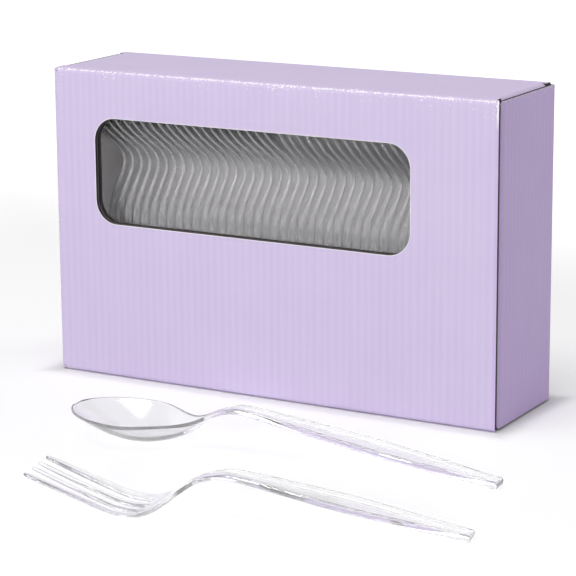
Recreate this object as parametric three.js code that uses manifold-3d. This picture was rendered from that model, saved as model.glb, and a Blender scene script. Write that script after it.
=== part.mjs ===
// Carton of clear plastic cutlery, in millimetres, with +Z up.
//
// A reverse-tuck carton of thin corrugated board stands on its long side. Spoons and forks stand nested
// in one row behind the window of its front panel, and a larger spoon and fork lie on the ground before it.
// X runs from the left end of the carton to its right end, and the front panel faces -Y.
// The origin is the middle of the carton's bottom face.

import * as THREE from "three";
import { mergeVertices } from "three/addons/utils/BufferGeometryUtils.js";
import Module from "manifold-3d";

const wasm = await Module();
wasm.setup();

// Carton
const CARTON_WIDTH = 210;
const CARTON_DEPTH = 56;
const CARTON_HEIGHT = 134;
const BOARD = 1.6;
const FOLD_RADIUS = 2.4;
const BOARD_GAP = 0.3;
const WINDOW_WIDTH = 150.6;
const WINDOW_HEIGHT = 45.8;
const WINDOW_FROM_LEFT = 21.2;
const WINDOW_FROM_TOP = 20.4;
const WINDOW_RADIUS = 10;
const GLUE_STRIP = 16;
const GLUE_STRIP_TAPER = 6;

// End closures: each end flap tucks behind a panel and covers two dust flaps
const FLAP_EDGE_GAP = 0.8;
const TUCK_GAP = 1.6;
const TUCK_LENGTH = 16;
const TUCK_SHOULDER = 1.5;
const TUCK_CORNER = 8;
const DUST_LENGTH = 42;
const DUST_TAPER = 9;
const DUST_CORNER = 5;
const DUST_CLEARANCE = 1.2;

// Row of nested cutlery
const ROW_PITCH = 4.34;
const NEST_GAP = 0.35;
const ROW_END_GAP = 0.9;
const ROW_TUCK_GAP = 0.6;
const HEAD_ROOM = 3;
const SEAT_GAP = 0.3;
const ROW_WALL = 1.3;

// Loose pair: the end of each handle on the ground, and the turn of the piece about Z in degrees
const LOOSE_SPOON_PLACE = { x: 136, y: -90, turn: 184.4 };
const LOOSE_FORK_PLACE = { x: 152, y: -148, turn: 192.9 };

const BOARD_COLOUR = 0xcfc0e2;
const PLASTIC_COLOUR = 0xe4e5e8;

// Nested pieces fill the height of the carton, and the rims of their handles nearly touch
const ROW_HEIGHT = CARTON_HEIGHT - 2 * BOARD - SEAT_GAP - HEAD_ROOM;
const ROW_RIM = ROW_PITCH - ROW_WALL - NEST_GAP;

// A piece of cutlery is described from the end of its handle to its tip.
// profile: side view as straight runs with rounded bends, up being the hollow side.
// wall, tipWall: thickness of the handle's floor and of the tip.
// rim: raised edge of the handle, with or without a wall at its end, which fades over its ramp to the head.
// handle, head: half widths and the distances from the end, or from the tip, at which they are reached.
// slots: gaps between the tines of a fork.
// tracks: points across one half of the section, by share of a head's width and by inset in a handle.
// steps: how many sections each stretch is drawn with.
const ROW_SPOON = {
  profile: [
    { along: 0, up: -9.6, bend: 0 },
    { along: ROW_HEIGHT - 56, up: -9.6, bend: 22 },
    { along: ROW_HEIGHT - 34, up: 1.4, bend: 12 },
    { along: ROW_HEIGHT, up: -20.5, bend: 0 },
  ],
  wall: ROW_WALL,
  tipWall: 1.1,
  rim: { width: 1.4, draft: 0.5, height: ROW_RIM, ramp: 34, endWall: false },
  handle: { endHalf: 4.4, widestHalf: 5.4, widestAt: 40, neckHalf: 3.8 },
  head: { length: 42, half: 17, tipHalf: 0, widestAt: 19, depth: 5.5 },
  tracks: [
    { across: 1, inset: 0, raised: true },
    { across: 0.5, inset: 1.9, raised: false },
  ],
  steps: { handle: 2, ramp: 5, head: 6 },
};

const ROW_FORK = {
  ...ROW_SPOON,
  tipWall: 1,
  head: { length: 42, half: 13.5, tipHalf: 12.4, widestAt: 25, depth: 0.8 },
  slots: { count: 3, length: 24, rootWidth: 2, tipWidth: 4.4, rootSteps: 1 },
  steps: { handle: 2, ramp: 5, head: 3 },
};

const LOOSE_SPOON = {
  profile: [
    { along: 0, up: 2, bend: 0 },
    { along: 111, up: 20, bend: 24 },
    { along: 129, up: 12, bend: 16 },
    { along: 181, up: 14, bend: 0 },
  ],
  wall: 1.5,
  tipWall: 1.2,
  rim: { width: 1.6, draft: 0.5, height: 1.5, ramp: 26, endWall: true },
  handle: { endHalf: 4, widestHalf: 7, widestAt: 44, neckHalf: 3.6 },
  head: { length: 60, half: 19.5, tipHalf: 0, widestAt: 27, depth: 10 },
  tracks: [
    { across: 1, inset: 0, raised: true },
    { across: 0.86, inset: 1.6, raised: true },
    { across: 0.6, inset: 2.1, raised: false },
    { across: 0.22, inset: 3.2, raised: false },
  ],
  steps: { handle: 8, ramp: 8, head: 14 },
};

const LOOSE_FORK = {
  ...LOOSE_SPOON,
  profile: [
    { along: 0, up: 2, bend: 0 },
    { along: 96, up: 20, bend: 26 },
    { along: 121, up: 2, bend: 20 },
    { along: 163, up: 17, bend: 0 },
  ],
  tipWall: 1.4,
  head: { length: 66, half: 13, tipHalf: 12.4, widestAt: 48, depth: 1.2 },
  slots: { count: 3, length: 44, rootWidth: 2.4, tipWidth: 5, rootSteps: 3 },
  steps: { handle: 8, ramp: 8, head: 12 },
};

// Planes that the board panels share
const END_X = CARTON_WIDTH / 2;
const DUST_X = END_X - BOARD - BOARD_GAP;
const FOLD_X = DUST_X - FOLD_RADIUS;
const SIDE_Y = CARTON_DEPTH / 2;
const JOIN = BOARD / 2;

// The tuck is a chord of the circle round its flap's hinge, so it swings clear of the panel before it
const TUCK_REACH = CARTON_DEPTH - BOARD - TUCK_GAP;
const TUCK_LEAN = Math.asin((TUCK_LENGTH + 2 * FOLD_RADIUS) / (2 * TUCK_REACH));
const TUCK_DEPTH = TUCK_GAP + TUCK_LENGTH * Math.sin(TUCK_LEAN) + BOARD / Math.cos(TUCK_LEAN);

const X_AXIS = new THREE.Vector3(1, 0, 0);
const Y_AXIS = new THREE.Vector3(0, 1, 0);
const Z_AXIS = new THREE.Vector3(0, 0, 1);

// Planes to draw in: an outline's two directions, then the direction that it is extruded in
const DRAWN_IN_YZ = new THREE.Matrix4().makeBasis(Y_AXIS, Z_AXIS, X_AXIS);
const DRAWN_IN_XZ = new THREE.Matrix4().makeBasis(X_AXIS, Z_AXIS, Y_AXIS.clone().negate());
const DRAWN_IN_XY = new THREE.Matrix4();

function solidOf(geometry) {
  const bare = geometry.clone();
  bare.deleteAttribute("normal");
  bare.deleteAttribute("uv");
  const merged = mergeVertices(bare);
  return new wasm.Manifold(new wasm.Mesh({
    numProp: 3,
    vertProperties: new Float32Array(merged.attributes.position.array),
    triVerts: new Uint32Array(merged.index.array),
  }));
}

function geometryOf(solid) {
  const mesh = solid.getMesh();
  const geometry = new THREE.BufferGeometry();
  geometry.setAttribute("position", new THREE.BufferAttribute(mesh.vertProperties, 3));
  geometry.setIndex(new THREE.BufferAttribute(mesh.triVerts, 1));
  geometry.computeVertexNormals();
  return geometry;
}

// A prism of an outline, centred on the plane that it is drawn in
function prism(outline, plane, thickness, curveSegments = 3) {
  const geometry = new THREE.ExtrudeGeometry(outline, {
    depth: thickness,
    bevelEnabled: false,
    curveSegments,
  });
  geometry.translate(0, 0, -thickness / 2);
  geometry.applyMatrix4(plane);
  return geometry;
}

function roundedRectangle(outline, left, bottom, width, height, radius) {
  const right = left + width;
  const top = bottom + height;
  outline.moveTo(left + radius, bottom);
  outline.absarc(right - radius, bottom + radius, radius, -Math.PI / 2, 0);
  outline.absarc(right - radius, top - radius, radius, 0, Math.PI / 2);
  outline.absarc(left + radius, top - radius, radius, Math.PI / 2, Math.PI);
  outline.absarc(left + radius, bottom + radius, radius, Math.PI, 1.5 * Math.PI);
  outline.closePath();
  return outline;
}

// Front, top, back and bottom panels, wrapped into a tube with rounded folds
function tube() {
  const innerRadius = FOLD_RADIUS - BOARD;
  const innerDepth = CARTON_DEPTH - 2 * BOARD;
  const innerHeight = CARTON_HEIGHT - 2 * BOARD;
  const outside = roundedRectangle(new THREE.Shape(), -SIDE_Y, 0, CARTON_DEPTH, CARTON_HEIGHT, FOLD_RADIUS);
  const inside = roundedRectangle(new THREE.Path(), BOARD - SIDE_Y, BOARD, innerDepth, innerHeight, innerRadius);
  outside.holes.push(inside);
  return solidOf(prism(outside, DRAWN_IN_YZ, 2 * FOLD_X));
}

// The front and back panels run on past the tube to the ends of the carton
function fullWidthPanel(side) {
  const geometry = new THREE.BoxGeometry(CARTON_WIDTH, BOARD, CARTON_HEIGHT - 2 * FOLD_RADIUS);
  geometry.translate(0, side * (SIDE_Y - BOARD / 2), CARTON_HEIGHT / 2);
  return solidOf(geometry);
}

// Strip of the bottom panel that is folded up and glued inside the back panel
function glueStrip() {
  const reach = FOLD_X - BOARD;
  const outline = new THREE.Shape();
  outline.moveTo(-reach, JOIN);
  outline.lineTo(reach, JOIN);
  outline.lineTo(reach - GLUE_STRIP_TAPER, GLUE_STRIP);
  outline.lineTo(GLUE_STRIP_TAPER - reach, GLUE_STRIP);
  outline.closePath();
  const strip = prism(outline, DRAWN_IN_XZ, BOARD + JOIN);
  strip.translate(0, SIDE_Y - 2 * BOARD + (BOARD + JOIN) / 2, 0);
  return solidOf(strip);
}

// Dust flap at the top of the right end: the top panel bends down through a fold and tapers to its edge
function dustFlap() {
  const top = CARTON_HEIGHT;
  const edge = CARTON_HEIGHT - DUST_LENGTH;
  const bend = new THREE.Shape();
  bend.moveTo(FOLD_X - JOIN, top);
  bend.lineTo(FOLD_X, top);
  bend.absarc(FOLD_X, top - FOLD_RADIUS, FOLD_RADIUS, Math.PI / 2, 0, true);
  bend.lineTo(DUST_X, edge);
  bend.lineTo(DUST_X - BOARD, edge);
  bend.absarc(FOLD_X, top - FOLD_RADIUS, FOLD_RADIUS - BOARD, 0, Math.PI / 2);
  bend.lineTo(FOLD_X - JOIN, top - BOARD);
  bend.closePath();

  const half = SIDE_Y - BOARD - TUCK_GAP - BOARD - DUST_CLEARANCE;
  const edgeHalf = half - DUST_TAPER;
  const face = new THREE.Shape();
  face.moveTo(-half, top + JOIN);
  face.lineTo(-half, top - FOLD_RADIUS);
  face.lineTo(-edgeHalf, edge + DUST_CORNER);
  face.quadraticCurveTo(-edgeHalf, edge, DUST_CORNER - edgeHalf, edge);
  face.lineTo(edgeHalf - DUST_CORNER, edge);
  face.quadraticCurveTo(edgeHalf, edge, edgeHalf, edge + DUST_CORNER);
  face.lineTo(half, top - FOLD_RADIUS);
  face.lineTo(half, top + JOIN);
  face.closePath();

  const bent = solidOf(prism(bend, DRAWN_IN_XZ, CARTON_DEPTH));
  return bent.intersect(solidOf(prism(face, DRAWN_IN_YZ, 2 * CARTON_WIDTH)));
}

function windowCut() {
  const left = WINDOW_FROM_LEFT - END_X;
  const bottom = CARTON_HEIGHT - WINDOW_FROM_TOP - WINDOW_HEIGHT;
  const outline = roundedRectangle(new THREE.Shape(), left, bottom, WINDOW_WIDTH, WINDOW_HEIGHT, WINDOW_RADIUS);
  const cut = prism(outline, DRAWN_IN_XZ, 4 * BOARD);
  cut.translate(0, -SIDE_Y, 0);
  return solidOf(cut);
}

// One folded and glued sheet: tube, full-width panels, glue strip and the dust flaps of both ends
function cartonSleeve() {
  const turnOver = new THREE.Matrix4().makeRotationX(Math.PI).setPosition(0, 0, CARTON_HEIGHT);
  const turnRound = new THREE.Matrix4().makeRotationZ(Math.PI);
  const topRight = geometryOf(dustFlap());
  const topLeft = topRight.clone().applyMatrix4(turnRound);
  const bottomRight = topRight.clone().applyMatrix4(turnOver);
  const bottomLeft = topLeft.clone().applyMatrix4(turnOver);

  let sleeve = tube().add(fullWidthPanel(-1)).add(fullWidthPanel(1)).add(glueStrip());
  for (const flap of [topRight, topLeft, bottomRight, bottomLeft]) {
    sleeve = sleeve.add(solidOf(flap));
  }
  return geometryOf(sleeve.subtract(windowCut()));
}

// End flap of the right end, hinged on the back panel: a panel that bends round into its tuck
function endFlap() {
  const frontY = SIDE_Y - TUCK_REACH;
  const hingeY = SIDE_Y - BOARD - BOARD_GAP;
  const foldX = END_X - FOLD_RADIUS;
  const foldY = frontY + FOLD_RADIUS;
  const innerRadius = FOLD_RADIUS - BOARD;
  const along = new THREE.Vector2(-Math.cos(TUCK_LEAN), Math.sin(TUCK_LEAN)).multiplyScalar(TUCK_LENGTH);
  const across = new THREE.Vector2(-Math.sin(TUCK_LEAN), -Math.cos(TUCK_LEAN));
  const outerStart = new THREE.Vector2(foldX, foldY).addScaledVector(across, FOLD_RADIUS);
  const innerStart = new THREE.Vector2(foldX, foldY).addScaledVector(across, innerRadius);
  const outerEnd = outerStart.clone().add(along);
  const innerEnd = innerStart.clone().add(along);

  const section = new THREE.Shape();
  section.moveTo(END_X, hingeY);
  section.lineTo(END_X, foldY);
  section.absarc(foldX, foldY, FOLD_RADIUS, 0, -Math.PI / 2 - TUCK_LEAN, true);
  section.lineTo(outerEnd.x, outerEnd.y);
  section.lineTo(innerEnd.x, innerEnd.y);
  section.absarc(foldX, foldY, innerRadius, -Math.PI / 2 - TUCK_LEAN, 0);
  section.lineTo(END_X - BOARD, hingeY);
  section.closePath();

  const bottom = FLAP_EDGE_GAP;
  const top = CARTON_HEIGHT - FLAP_EDGE_GAP;
  const tuckBottom = bottom + TUCK_SHOULDER;
  const tuckTop = top - TUCK_SHOULDER;
  const tip = Math.min(outerEnd.x, innerEnd.x) - BOARD;
  const face = new THREE.Shape();
  face.moveTo(END_X + BOARD, bottom);
  face.lineTo(END_X + BOARD, top);
  face.lineTo(foldX, top);
  face.lineTo(foldX, tuckTop);
  face.absarc(tip + TUCK_CORNER + BOARD, tuckTop - TUCK_CORNER, TUCK_CORNER, Math.PI / 2, Math.PI);
  face.absarc(tip + TUCK_CORNER + BOARD, tuckBottom + TUCK_CORNER, TUCK_CORNER, Math.PI, 1.5 * Math.PI);
  face.lineTo(foldX, tuckBottom);
  face.lineTo(foldX, bottom);
  face.closePath();

  const bent = prism(section, DRAWN_IN_XY, CARTON_HEIGHT);
  bent.translate(0, 0, CARTON_HEIGHT / 2);
  return geometryOf(solidOf(bent).intersect(solidOf(prism(face, DRAWN_IN_XZ, 2 * CARTON_DEPTH))));
}

// Straight runs between knots, with an arc of the knot's bend in place of each corner
function bentPath(knots) {
  const points = knots.map((knot) => new THREE.Vector2(knot.along, knot.up));
  const path = new THREE.Path();
  path.moveTo(points[0].x, points[0].y);
  for (let i = 1; i < points.length - 1; i += 1) {
    const before = points[i - 1].clone().sub(points[i]).normalize();
    const after = points[i + 1].clone().sub(points[i]).normalize();
    const half = Math.acos(before.dot(after)) / 2;
    const middle = before.clone().add(after).normalize();
    const centre = points[i].clone().addScaledVector(middle, knots[i].bend / Math.sin(half));
    const reach = knots[i].bend / Math.tan(half);
    const start = points[i].clone().addScaledVector(before, reach).sub(centre);
    const end = points[i].clone().addScaledVector(after, reach).sub(centre);
    path.lineTo(centre.x + start.x, centre.y + start.y);
    path.absarc(centre.x, centre.y, knots[i].bend, start.angle(), end.angle(), start.cross(end) < 0);
  }
  path.lineTo(points.at(-1).x, points.at(-1).y);
  return path;
}

function between(from, to, share) {
  return from + (to - from) * THREE.MathUtils.smoothstep(share, 0, 1);
}

// Half the width of a piece at a distance from the end of its handle
function halfWidth(piece, length, distance) {
  const { handle, head } = piece;
  const fromTip = length - distance;
  const handleLength = length - head.length;
  if (fromTip < head.widestAt) {
    const share = 1 - fromTip / head.widestAt;
    const round = Math.sqrt(Math.max(0, 1 - share * share));
    return head.tipHalf > 0 ? THREE.MathUtils.lerp(head.half, head.tipHalf, share) : head.half * round;
  }
  if (fromTip < head.length) {
    return between(head.half, handle.neckHalf, (fromTip - head.widestAt) / (head.length - head.widestAt));
  }
  if (distance > handle.widestAt) {
    return between(handle.widestHalf, handle.neckHalf, (distance - handle.widestAt) / (handleLength - handle.widestAt));
  }
  return between(handle.endHalf, handle.widestHalf, distance / handle.widestAt);
}

// Where a piece is cut into sections: close together at the rim's end, in the ramp and round the tip
function sectionDistances(piece, length) {
  const { rim, head, steps } = piece;
  const rampEnd = length - head.length;
  const rampStart = rampEnd - rim.ramp;
  const distances = rim.endWall ? [0, rim.width, rim.width + rim.draft] : [0];
  const floorStart = distances.at(-1);
  for (let i = 1; i <= steps.handle; i += 1) {
    distances.push(THREE.MathUtils.lerp(floorStart, rampStart, i / steps.handle));
  }
  for (let i = 1; i <= steps.ramp; i += 1) {
    distances.push(THREE.MathUtils.lerp(rampStart, rampEnd, i / steps.ramp));
  }
  for (let i = 1; i <= steps.head; i += 1) {
    const share = head.tipHalf > 0 ? i / steps.head : Math.sin(0.975 * (Math.PI / 2) * (i / steps.head));
    distances.push(rampEnd + head.length * share);
  }
  return distances;
}

// Section of a piece: a channel with raised rims in the handle, a shallow dish in the head
function sectionRing(piece, path, length, distance) {
  const { rim, head, tracks } = piece;
  const origin = path.getPointAt(distance / length);
  const tangent = path.getTangentAt(distance / length);
  const half = halfWidth(piece, length, distance);
  const rampEnd = length - head.length;
  const fade = 1 - THREE.MathUtils.smoothstep(distance, rampEnd - rim.ramp, rampEnd);
  const headShare = Math.max(0, (distance - rampEnd) / head.length);
  const dish = head.depth * Math.sin(Math.PI * headShare);
  const wall = THREE.MathUtils.lerp(piece.wall, piece.tipWall, headShare);
  const closed = rim.endWall && distance < rim.width + rim.draft / 2;

  const upper = [];
  const lower = [];
  for (const track of tracks) {
    const handleAcross = 1 - Math.min(track.inset / half, 0.8);
    const across = THREE.MathUtils.lerp(track.across, handleAcross, fade);
    const sag = dish * (1 - across * across);
    const raise = track.raised || closed ? rim.height * fade : 0;
    upper.push({ across: across * half, up: raise - sag });
    lower.push({ across: across * half, up: -wall - sag });
  }

  const mirrored = (points) => points.map((point) => ({ across: -point.across, up: point.up }));
  const outline = [...upper, ...mirrored(upper).reverse(), ...mirrored(lower), ...lower.reverse()];
  return outline.map((point) => ({
    flat: new THREE.Vector2(point.across, point.up),
    place: new THREE.Vector3(origin.x - tangent.y * point.up, point.across, origin.y + tangent.x * point.up),
  }));
}

// Closed skin over a run of sections that all have as many points
function loft(rings) {
  const size = rings[0].length;
  const positions = rings.flat().flatMap((point) => point.place.toArray());
  const faces = [];
  for (let i = 0; i + 1 < rings.length; i += 1) {
    for (let j = 0; j < size; j += 1) {
      const near = i * size + j;
      const nearNext = i * size + ((j + 1) % size);
      faces.push(near, nearNext, near + size);
      faces.push(nearNext, nearNext + size, near + size);
    }
  }
  const last = (rings.length - 1) * size;
  for (const [a, b, c] of THREE.ShapeUtils.triangulateShape(rings[0].map((point) => point.flat), [])) {
    faces.push(c, b, a);
  }
  for (const [a, b, c] of THREE.ShapeUtils.triangulateShape(rings.at(-1).map((point) => point.flat), [])) {
    faces.push(last + a, last + b, last + c);
  }
  const geometry = new THREE.BufferGeometry();
  geometry.setAttribute("position", new THREE.Float32BufferAttribute(positions, 3));
  geometry.setIndex(faces);
  geometry.computeVertexNormals();
  return geometry;
}

// Gaps between the tines, seen from above: each widens from a round root to the tips
function tineSlots(piece) {
  const { slots, head, profile } = piece;
  const tip = profile.at(-1).along;
  const root = tip - slots.length;
  const pitch = (2 * head.half) / (slots.count + 1);
  const overrun = slots.tipWidth;
  const height = 2 * tip;
  let cut = null;
  for (let i = 0; i < slots.count; i += 1) {
    const middle = (i - (slots.count - 1) / 2) * pitch;
    const outline = new THREE.Shape();
    outline.moveTo(tip + overrun, middle - slots.tipWidth / 2);
    outline.lineTo(tip + overrun, middle + slots.tipWidth / 2);
    outline.absarc(root, middle, slots.rootWidth / 2, Math.PI / 2, 1.5 * Math.PI);
    outline.closePath();
    const slot = solidOf(prism(outline, DRAWN_IN_XY, height, slots.rootSteps));
    cut = cut ? cut.add(slot) : slot;
  }
  return cut;
}

// One moulded piece, its handle's end at the origin and its tip towards +X, hollow side up
function cutlery(piece) {
  const path = bentPath(piece.profile);
  const length = path.getLength();
  const rings = sectionDistances(piece, length).map((distance) => sectionRing(piece, path, length, distance));
  const whole = loft(rings);
  return piece.slots ? geometryOf(solidOf(whole).subtract(tineSlots(piece))) : whole;
}

function lowestPoint(geometry, from, to) {
  const points = geometry.attributes.position;
  let lowest = new THREE.Vector3(0, 0, Infinity);
  for (let i = 0; i < points.count; i += 1) {
    const point = new THREE.Vector3().fromBufferAttribute(points, i);
    if (point.x >= from && point.x <= to && point.z < lowest.z) {
      lowest = point;
    }
  }
  return lowest;
}

// Tips a piece until its handle and its head both rest on the ground
function settle(geometry, piece) {
  const tip = 2 * piece.profile.at(-1).along;
  const middle = piece.profile.at(1).along;
  for (let pass = 0; pass < 4; pass += 1) {
    const handle = lowestPoint(geometry, -tip, middle);
    const head = lowestPoint(geometry, middle, tip);
    geometry.rotateY(Math.atan2(head.z - handle.z, head.x - handle.x));
  }
  geometry.translate(0, 0, -lowestPoint(geometry, -tip, tip).z);
  return geometry;
}

function boardMaterial() {
  return new THREE.MeshStandardMaterial({ color: BOARD_COLOUR, roughness: 0.75, metalness: 0 });
}

function plasticMaterial() {
  return new THREE.MeshStandardMaterial({
    color: PLASTIC_COLOUR,
    roughness: 0.12,
    metalness: 0,
    transparent: true,
    opacity: 0.35,
  });
}

function named(name, geometry, material) {
  const mesh = new THREE.Mesh(geometry, material);
  mesh.name = name;
  return mesh;
}

// Carton: the sleeve, and one end flap turned round for the other end
function cartonGroup() {
  const group = new THREE.Group();
  const flap = endFlap();
  const leftFlap = named("left_end_flap", flap, boardMaterial());
  leftFlap.rotation.z = Math.PI;
  group.add(named("carton_sleeve", cartonSleeve(), boardMaterial()));
  group.add(named("right_end_flap", flap, boardMaterial()));
  group.add(leftFlap);
  return group;
}

// Upright pieces from the left end to the right end, spoons first, as many as the carton holds
function rowGroup() {
  const group = new THREE.Group();
  const spoon = cutlery(ROW_SPOON);
  const fork = cutlery(ROW_FORK);
  spoon.computeBoundingBox();
  fork.computeBoundingBox();
  const inside = DUST_X - BOARD - ROW_END_GAP;
  const first = -inside - spoon.boundingBox.min.z;
  const last = inside - fork.boundingBox.max.z;
  const count = Math.floor((last - first) / ROW_PITCH) + 1;
  const spoonCount = Math.ceil(count / 2);
  for (let i = 0; i < count; i += 1) {
    const isSpoon = i < spoonCount;
    const number = String(isSpoon ? i + 1 : i + 1 - spoonCount).padStart(2, "0");
    const kind = isSpoon ? "boxed_spoon" : "boxed_fork";
    const piece = named(`${kind}_${number}`, isSpoon ? spoon : fork, plasticMaterial());
    piece.position.x = first + i * ROW_PITCH;
    piece.rotation.set(0, -Math.PI / 2, Math.PI, "ZYX");
    group.add(piece);
  }
  group.position.y = TUCK_DEPTH + ROW_TUCK_GAP + ROW_FORK.head.half + BOARD - SIDE_Y;
  group.position.z = BOARD + SEAT_GAP;
  return group;
}

function loosePiece(name, piece, place) {
  const mesh = named(name, settle(cutlery(piece), piece), plasticMaterial());
  mesh.position.set(place.x, place.y, 0);
  mesh.rotation.z = THREE.MathUtils.degToRad(place.turn);
  return mesh;
}

const cutleryPack = new THREE.Group();
cutleryPack.add(cartonGroup());
cutleryPack.add(rowGroup());
cutleryPack.add(loosePiece("loose_spoon", LOOSE_SPOON, LOOSE_SPOON_PLACE));
cutleryPack.add(loosePiece("loose_fork", LOOSE_FORK, LOOSE_FORK_PLACE));

export default cutleryPack;
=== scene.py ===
"""Looks of the clear cutlery pack: its lilac carton, the nested row behind the window and the loose pair.

Every size is in metres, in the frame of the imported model: +X runs along the carton to its right end,
the windowed front faces -Y, and the ground is at Z = 0.
"""

import logging
import math
from collections.abc import Sequence
from dataclasses import dataclass, field
from enum import Enum

import bmesh
import bpy
from mathutils import Matrix, Quaternion, Vector


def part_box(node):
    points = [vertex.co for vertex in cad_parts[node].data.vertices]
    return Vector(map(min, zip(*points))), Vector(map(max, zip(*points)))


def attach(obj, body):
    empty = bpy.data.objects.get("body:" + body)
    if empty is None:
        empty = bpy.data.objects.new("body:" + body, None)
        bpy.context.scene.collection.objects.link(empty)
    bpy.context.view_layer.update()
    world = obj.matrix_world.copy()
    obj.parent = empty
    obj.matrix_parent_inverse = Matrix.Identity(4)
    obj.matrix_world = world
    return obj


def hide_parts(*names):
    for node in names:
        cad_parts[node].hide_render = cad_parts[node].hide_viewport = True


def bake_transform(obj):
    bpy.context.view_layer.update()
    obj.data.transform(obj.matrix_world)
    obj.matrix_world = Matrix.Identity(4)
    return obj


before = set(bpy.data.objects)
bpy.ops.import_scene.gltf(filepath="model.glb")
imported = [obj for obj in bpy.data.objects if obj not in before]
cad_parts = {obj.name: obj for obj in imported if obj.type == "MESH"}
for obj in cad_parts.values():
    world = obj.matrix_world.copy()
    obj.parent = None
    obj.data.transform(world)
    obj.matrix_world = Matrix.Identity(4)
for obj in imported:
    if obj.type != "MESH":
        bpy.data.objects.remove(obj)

LOG = logging.getLogger("cutlery_pack")
MM = 0.001
SMOOTH_ANGLE = math.radians(35.0)

Colour = tuple[float, float, float, float]
Point = tuple[float, float]


class Body(Enum):
    """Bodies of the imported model."""

    CARTON = "carton"
    RIGHT_FLAP = "right_flap"
    LEFT_FLAP = "left_flap"


class Slot(Enum):
    """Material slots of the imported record."""

    BOARD = "board"
    PLASTIC = "clear_plastic"


class End(Enum):
    """Ends of the carton. The left end is the right one turned half round the carton's upright axis."""

    RIGHT = 1
    LEFT = -1


def smoothstep(share: float) -> float:
    """Eases a share between 0 and 1."""
    held = min(1.0, max(0.0, share))
    return held * held * (3.0 - 2.0 * held)


def lerp(start: float, end: float, share: float) -> float:
    """Goes straight from one value to another."""
    return start + (end - start) * share


def eased(start: float, end: float, share: float) -> float:
    """Goes from one value to another with a level start and end."""
    return lerp(start, end, smoothstep(share))


def steps(count: int) -> list[float]:
    """Gives evenly spaced shares from 0 to 1, both ends included."""
    return [i / count for i in range(count + 1)]


def new_object(name: str, mesh: bpy.types.Mesh) -> bpy.types.Object:
    """Puts a mesh into the scene as an object at the origin."""
    piece = bpy.data.objects.new(name, mesh)
    bpy.context.scene.collection.objects.link(piece)
    return piece


def settle_mesh(piece: bpy.types.Object) -> bpy.types.Mesh:
    """Turns a piece and its modifiers into one plain mesh.

    Args:
        piece: Object whose modifiers are to be worked into its mesh.

    Returns:
        The piece's new mesh.
    """
    bpy.context.view_layer.update()
    depsgraph = bpy.context.evaluated_depsgraph_get()
    mesh = bpy.data.meshes.new_from_object(piece.evaluated_get(depsgraph), depsgraph=depsgraph)
    mesh.name = piece.name
    piece.modifiers.clear()
    piece.data = mesh
    return mesh


def shade(mesh: bpy.types.Mesh, angle: float = SMOOTH_ANGLE) -> None:
    """Shades a mesh smooth, apart from edges sharper than an angle."""
    mesh.shade_smooth()
    mesh.set_sharp_from_angle(angle=angle)


class Graph:
    """Adds nodes to a node tree, sets their inputs and links them."""

    def __init__(self, tree: bpy.types.NodeTree) -> None:
        """Starts on a tree, which keeps the nodes it has."""
        self.tree = tree

    def add(self, kind: str, inputs: dict | None = None, **settings: object) -> bpy.types.Node:
        """Adds a node.

        Args:
            kind: Node type, such as ShaderNodeMath.
            inputs: Sockets to link or values to set, by the input's name or number.
            **settings: Attributes of the node itself.

        Returns:
            The new node.
        """
        node = self.tree.nodes.new(kind)
        for name, value in settings.items():
            setattr(node, name, value)
        for key, value in (inputs or {}).items():
            self.feed(node.inputs[key], value)
        return node

    def feed(self, socket: bpy.types.NodeSocket, value: object) -> None:
        """Links an input to another node's output, or sets its value."""
        if isinstance(value, bpy.types.NodeSocket):
            self.tree.links.new(value, socket)
        else:
            socket.default_value = value

    def math(self, operation: str, *values: object, clamp: bool = False) -> bpy.types.NodeSocket:
        """Adds a Math node and gives its result."""
        node = self.add("ShaderNodeMath", dict(enumerate(values)), operation=operation, use_clamp=clamp)
        return node.outputs[0]

    def ramp(self, value: object, low: float, high: float) -> bpy.types.NodeSocket:
        """Eases a value from 0 at low to 1 at high, which may be the smaller of the two."""
        inputs = {"Value": value, "From Min": low, "From Max": high}
        node = self.add("ShaderNodeMapRange", inputs, interpolation_type="SMOOTHSTEP")
        return node.outputs["Result"]

    def mix(self, share: object, first: object, second: object) -> bpy.types.NodeSocket:
        """Mixes two colours by a share."""
        node = self.add("ShaderNodeMix", data_type="RGBA")
        for name, value in (("Factor_Float", share), ("A_Color", first), ("B_Color", second)):
            socket = next(s for s in node.inputs if s.identifier == name)
            self.feed(socket, value)
        return next(s for s in node.outputs if s.identifier == "Result_Color")

    def vector(self, operation: str, *values: object) -> bpy.types.NodeSocket:
        """Adds a Vector Math node and gives its result."""
        node = self.add("ShaderNodeVectorMath", dict(enumerate(values)), operation=operation)
        return node.outputs[0]

    def noise(
        self, place: object, scale: float, detail: float, roughness: float = 0.5
    ) -> bpy.types.NodeSocket:
        """Adds a noise texture and gives its value."""
        inputs = {"Vector": place, "Scale": scale, "Detail": detail, "Roughness": roughness}
        return self.add("ShaderNodeTexNoise", inputs).outputs["Fac"]

    def attribute(self, name: str) -> bpy.types.NodeSocket:
        """Reads a number stored on the piece's points."""
        return self.add("ShaderNodeAttribute", attribute_name=name).outputs["Fac"]

    def object_place(self) -> bpy.types.NodeSocket:
        """Gives the place on the piece, in the piece's own axes."""
        return self.add("ShaderNodeTexCoord").outputs["Object"]

    def group(self, tree: bpy.types.NodeTree, inputs: dict) -> bpy.types.Node:
        """Places a node group with its own values."""
        node = self.add("ShaderNodeGroup", node_tree=tree)
        for key, value in inputs.items():
            self.feed(node.inputs[key], value)
        return node


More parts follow.
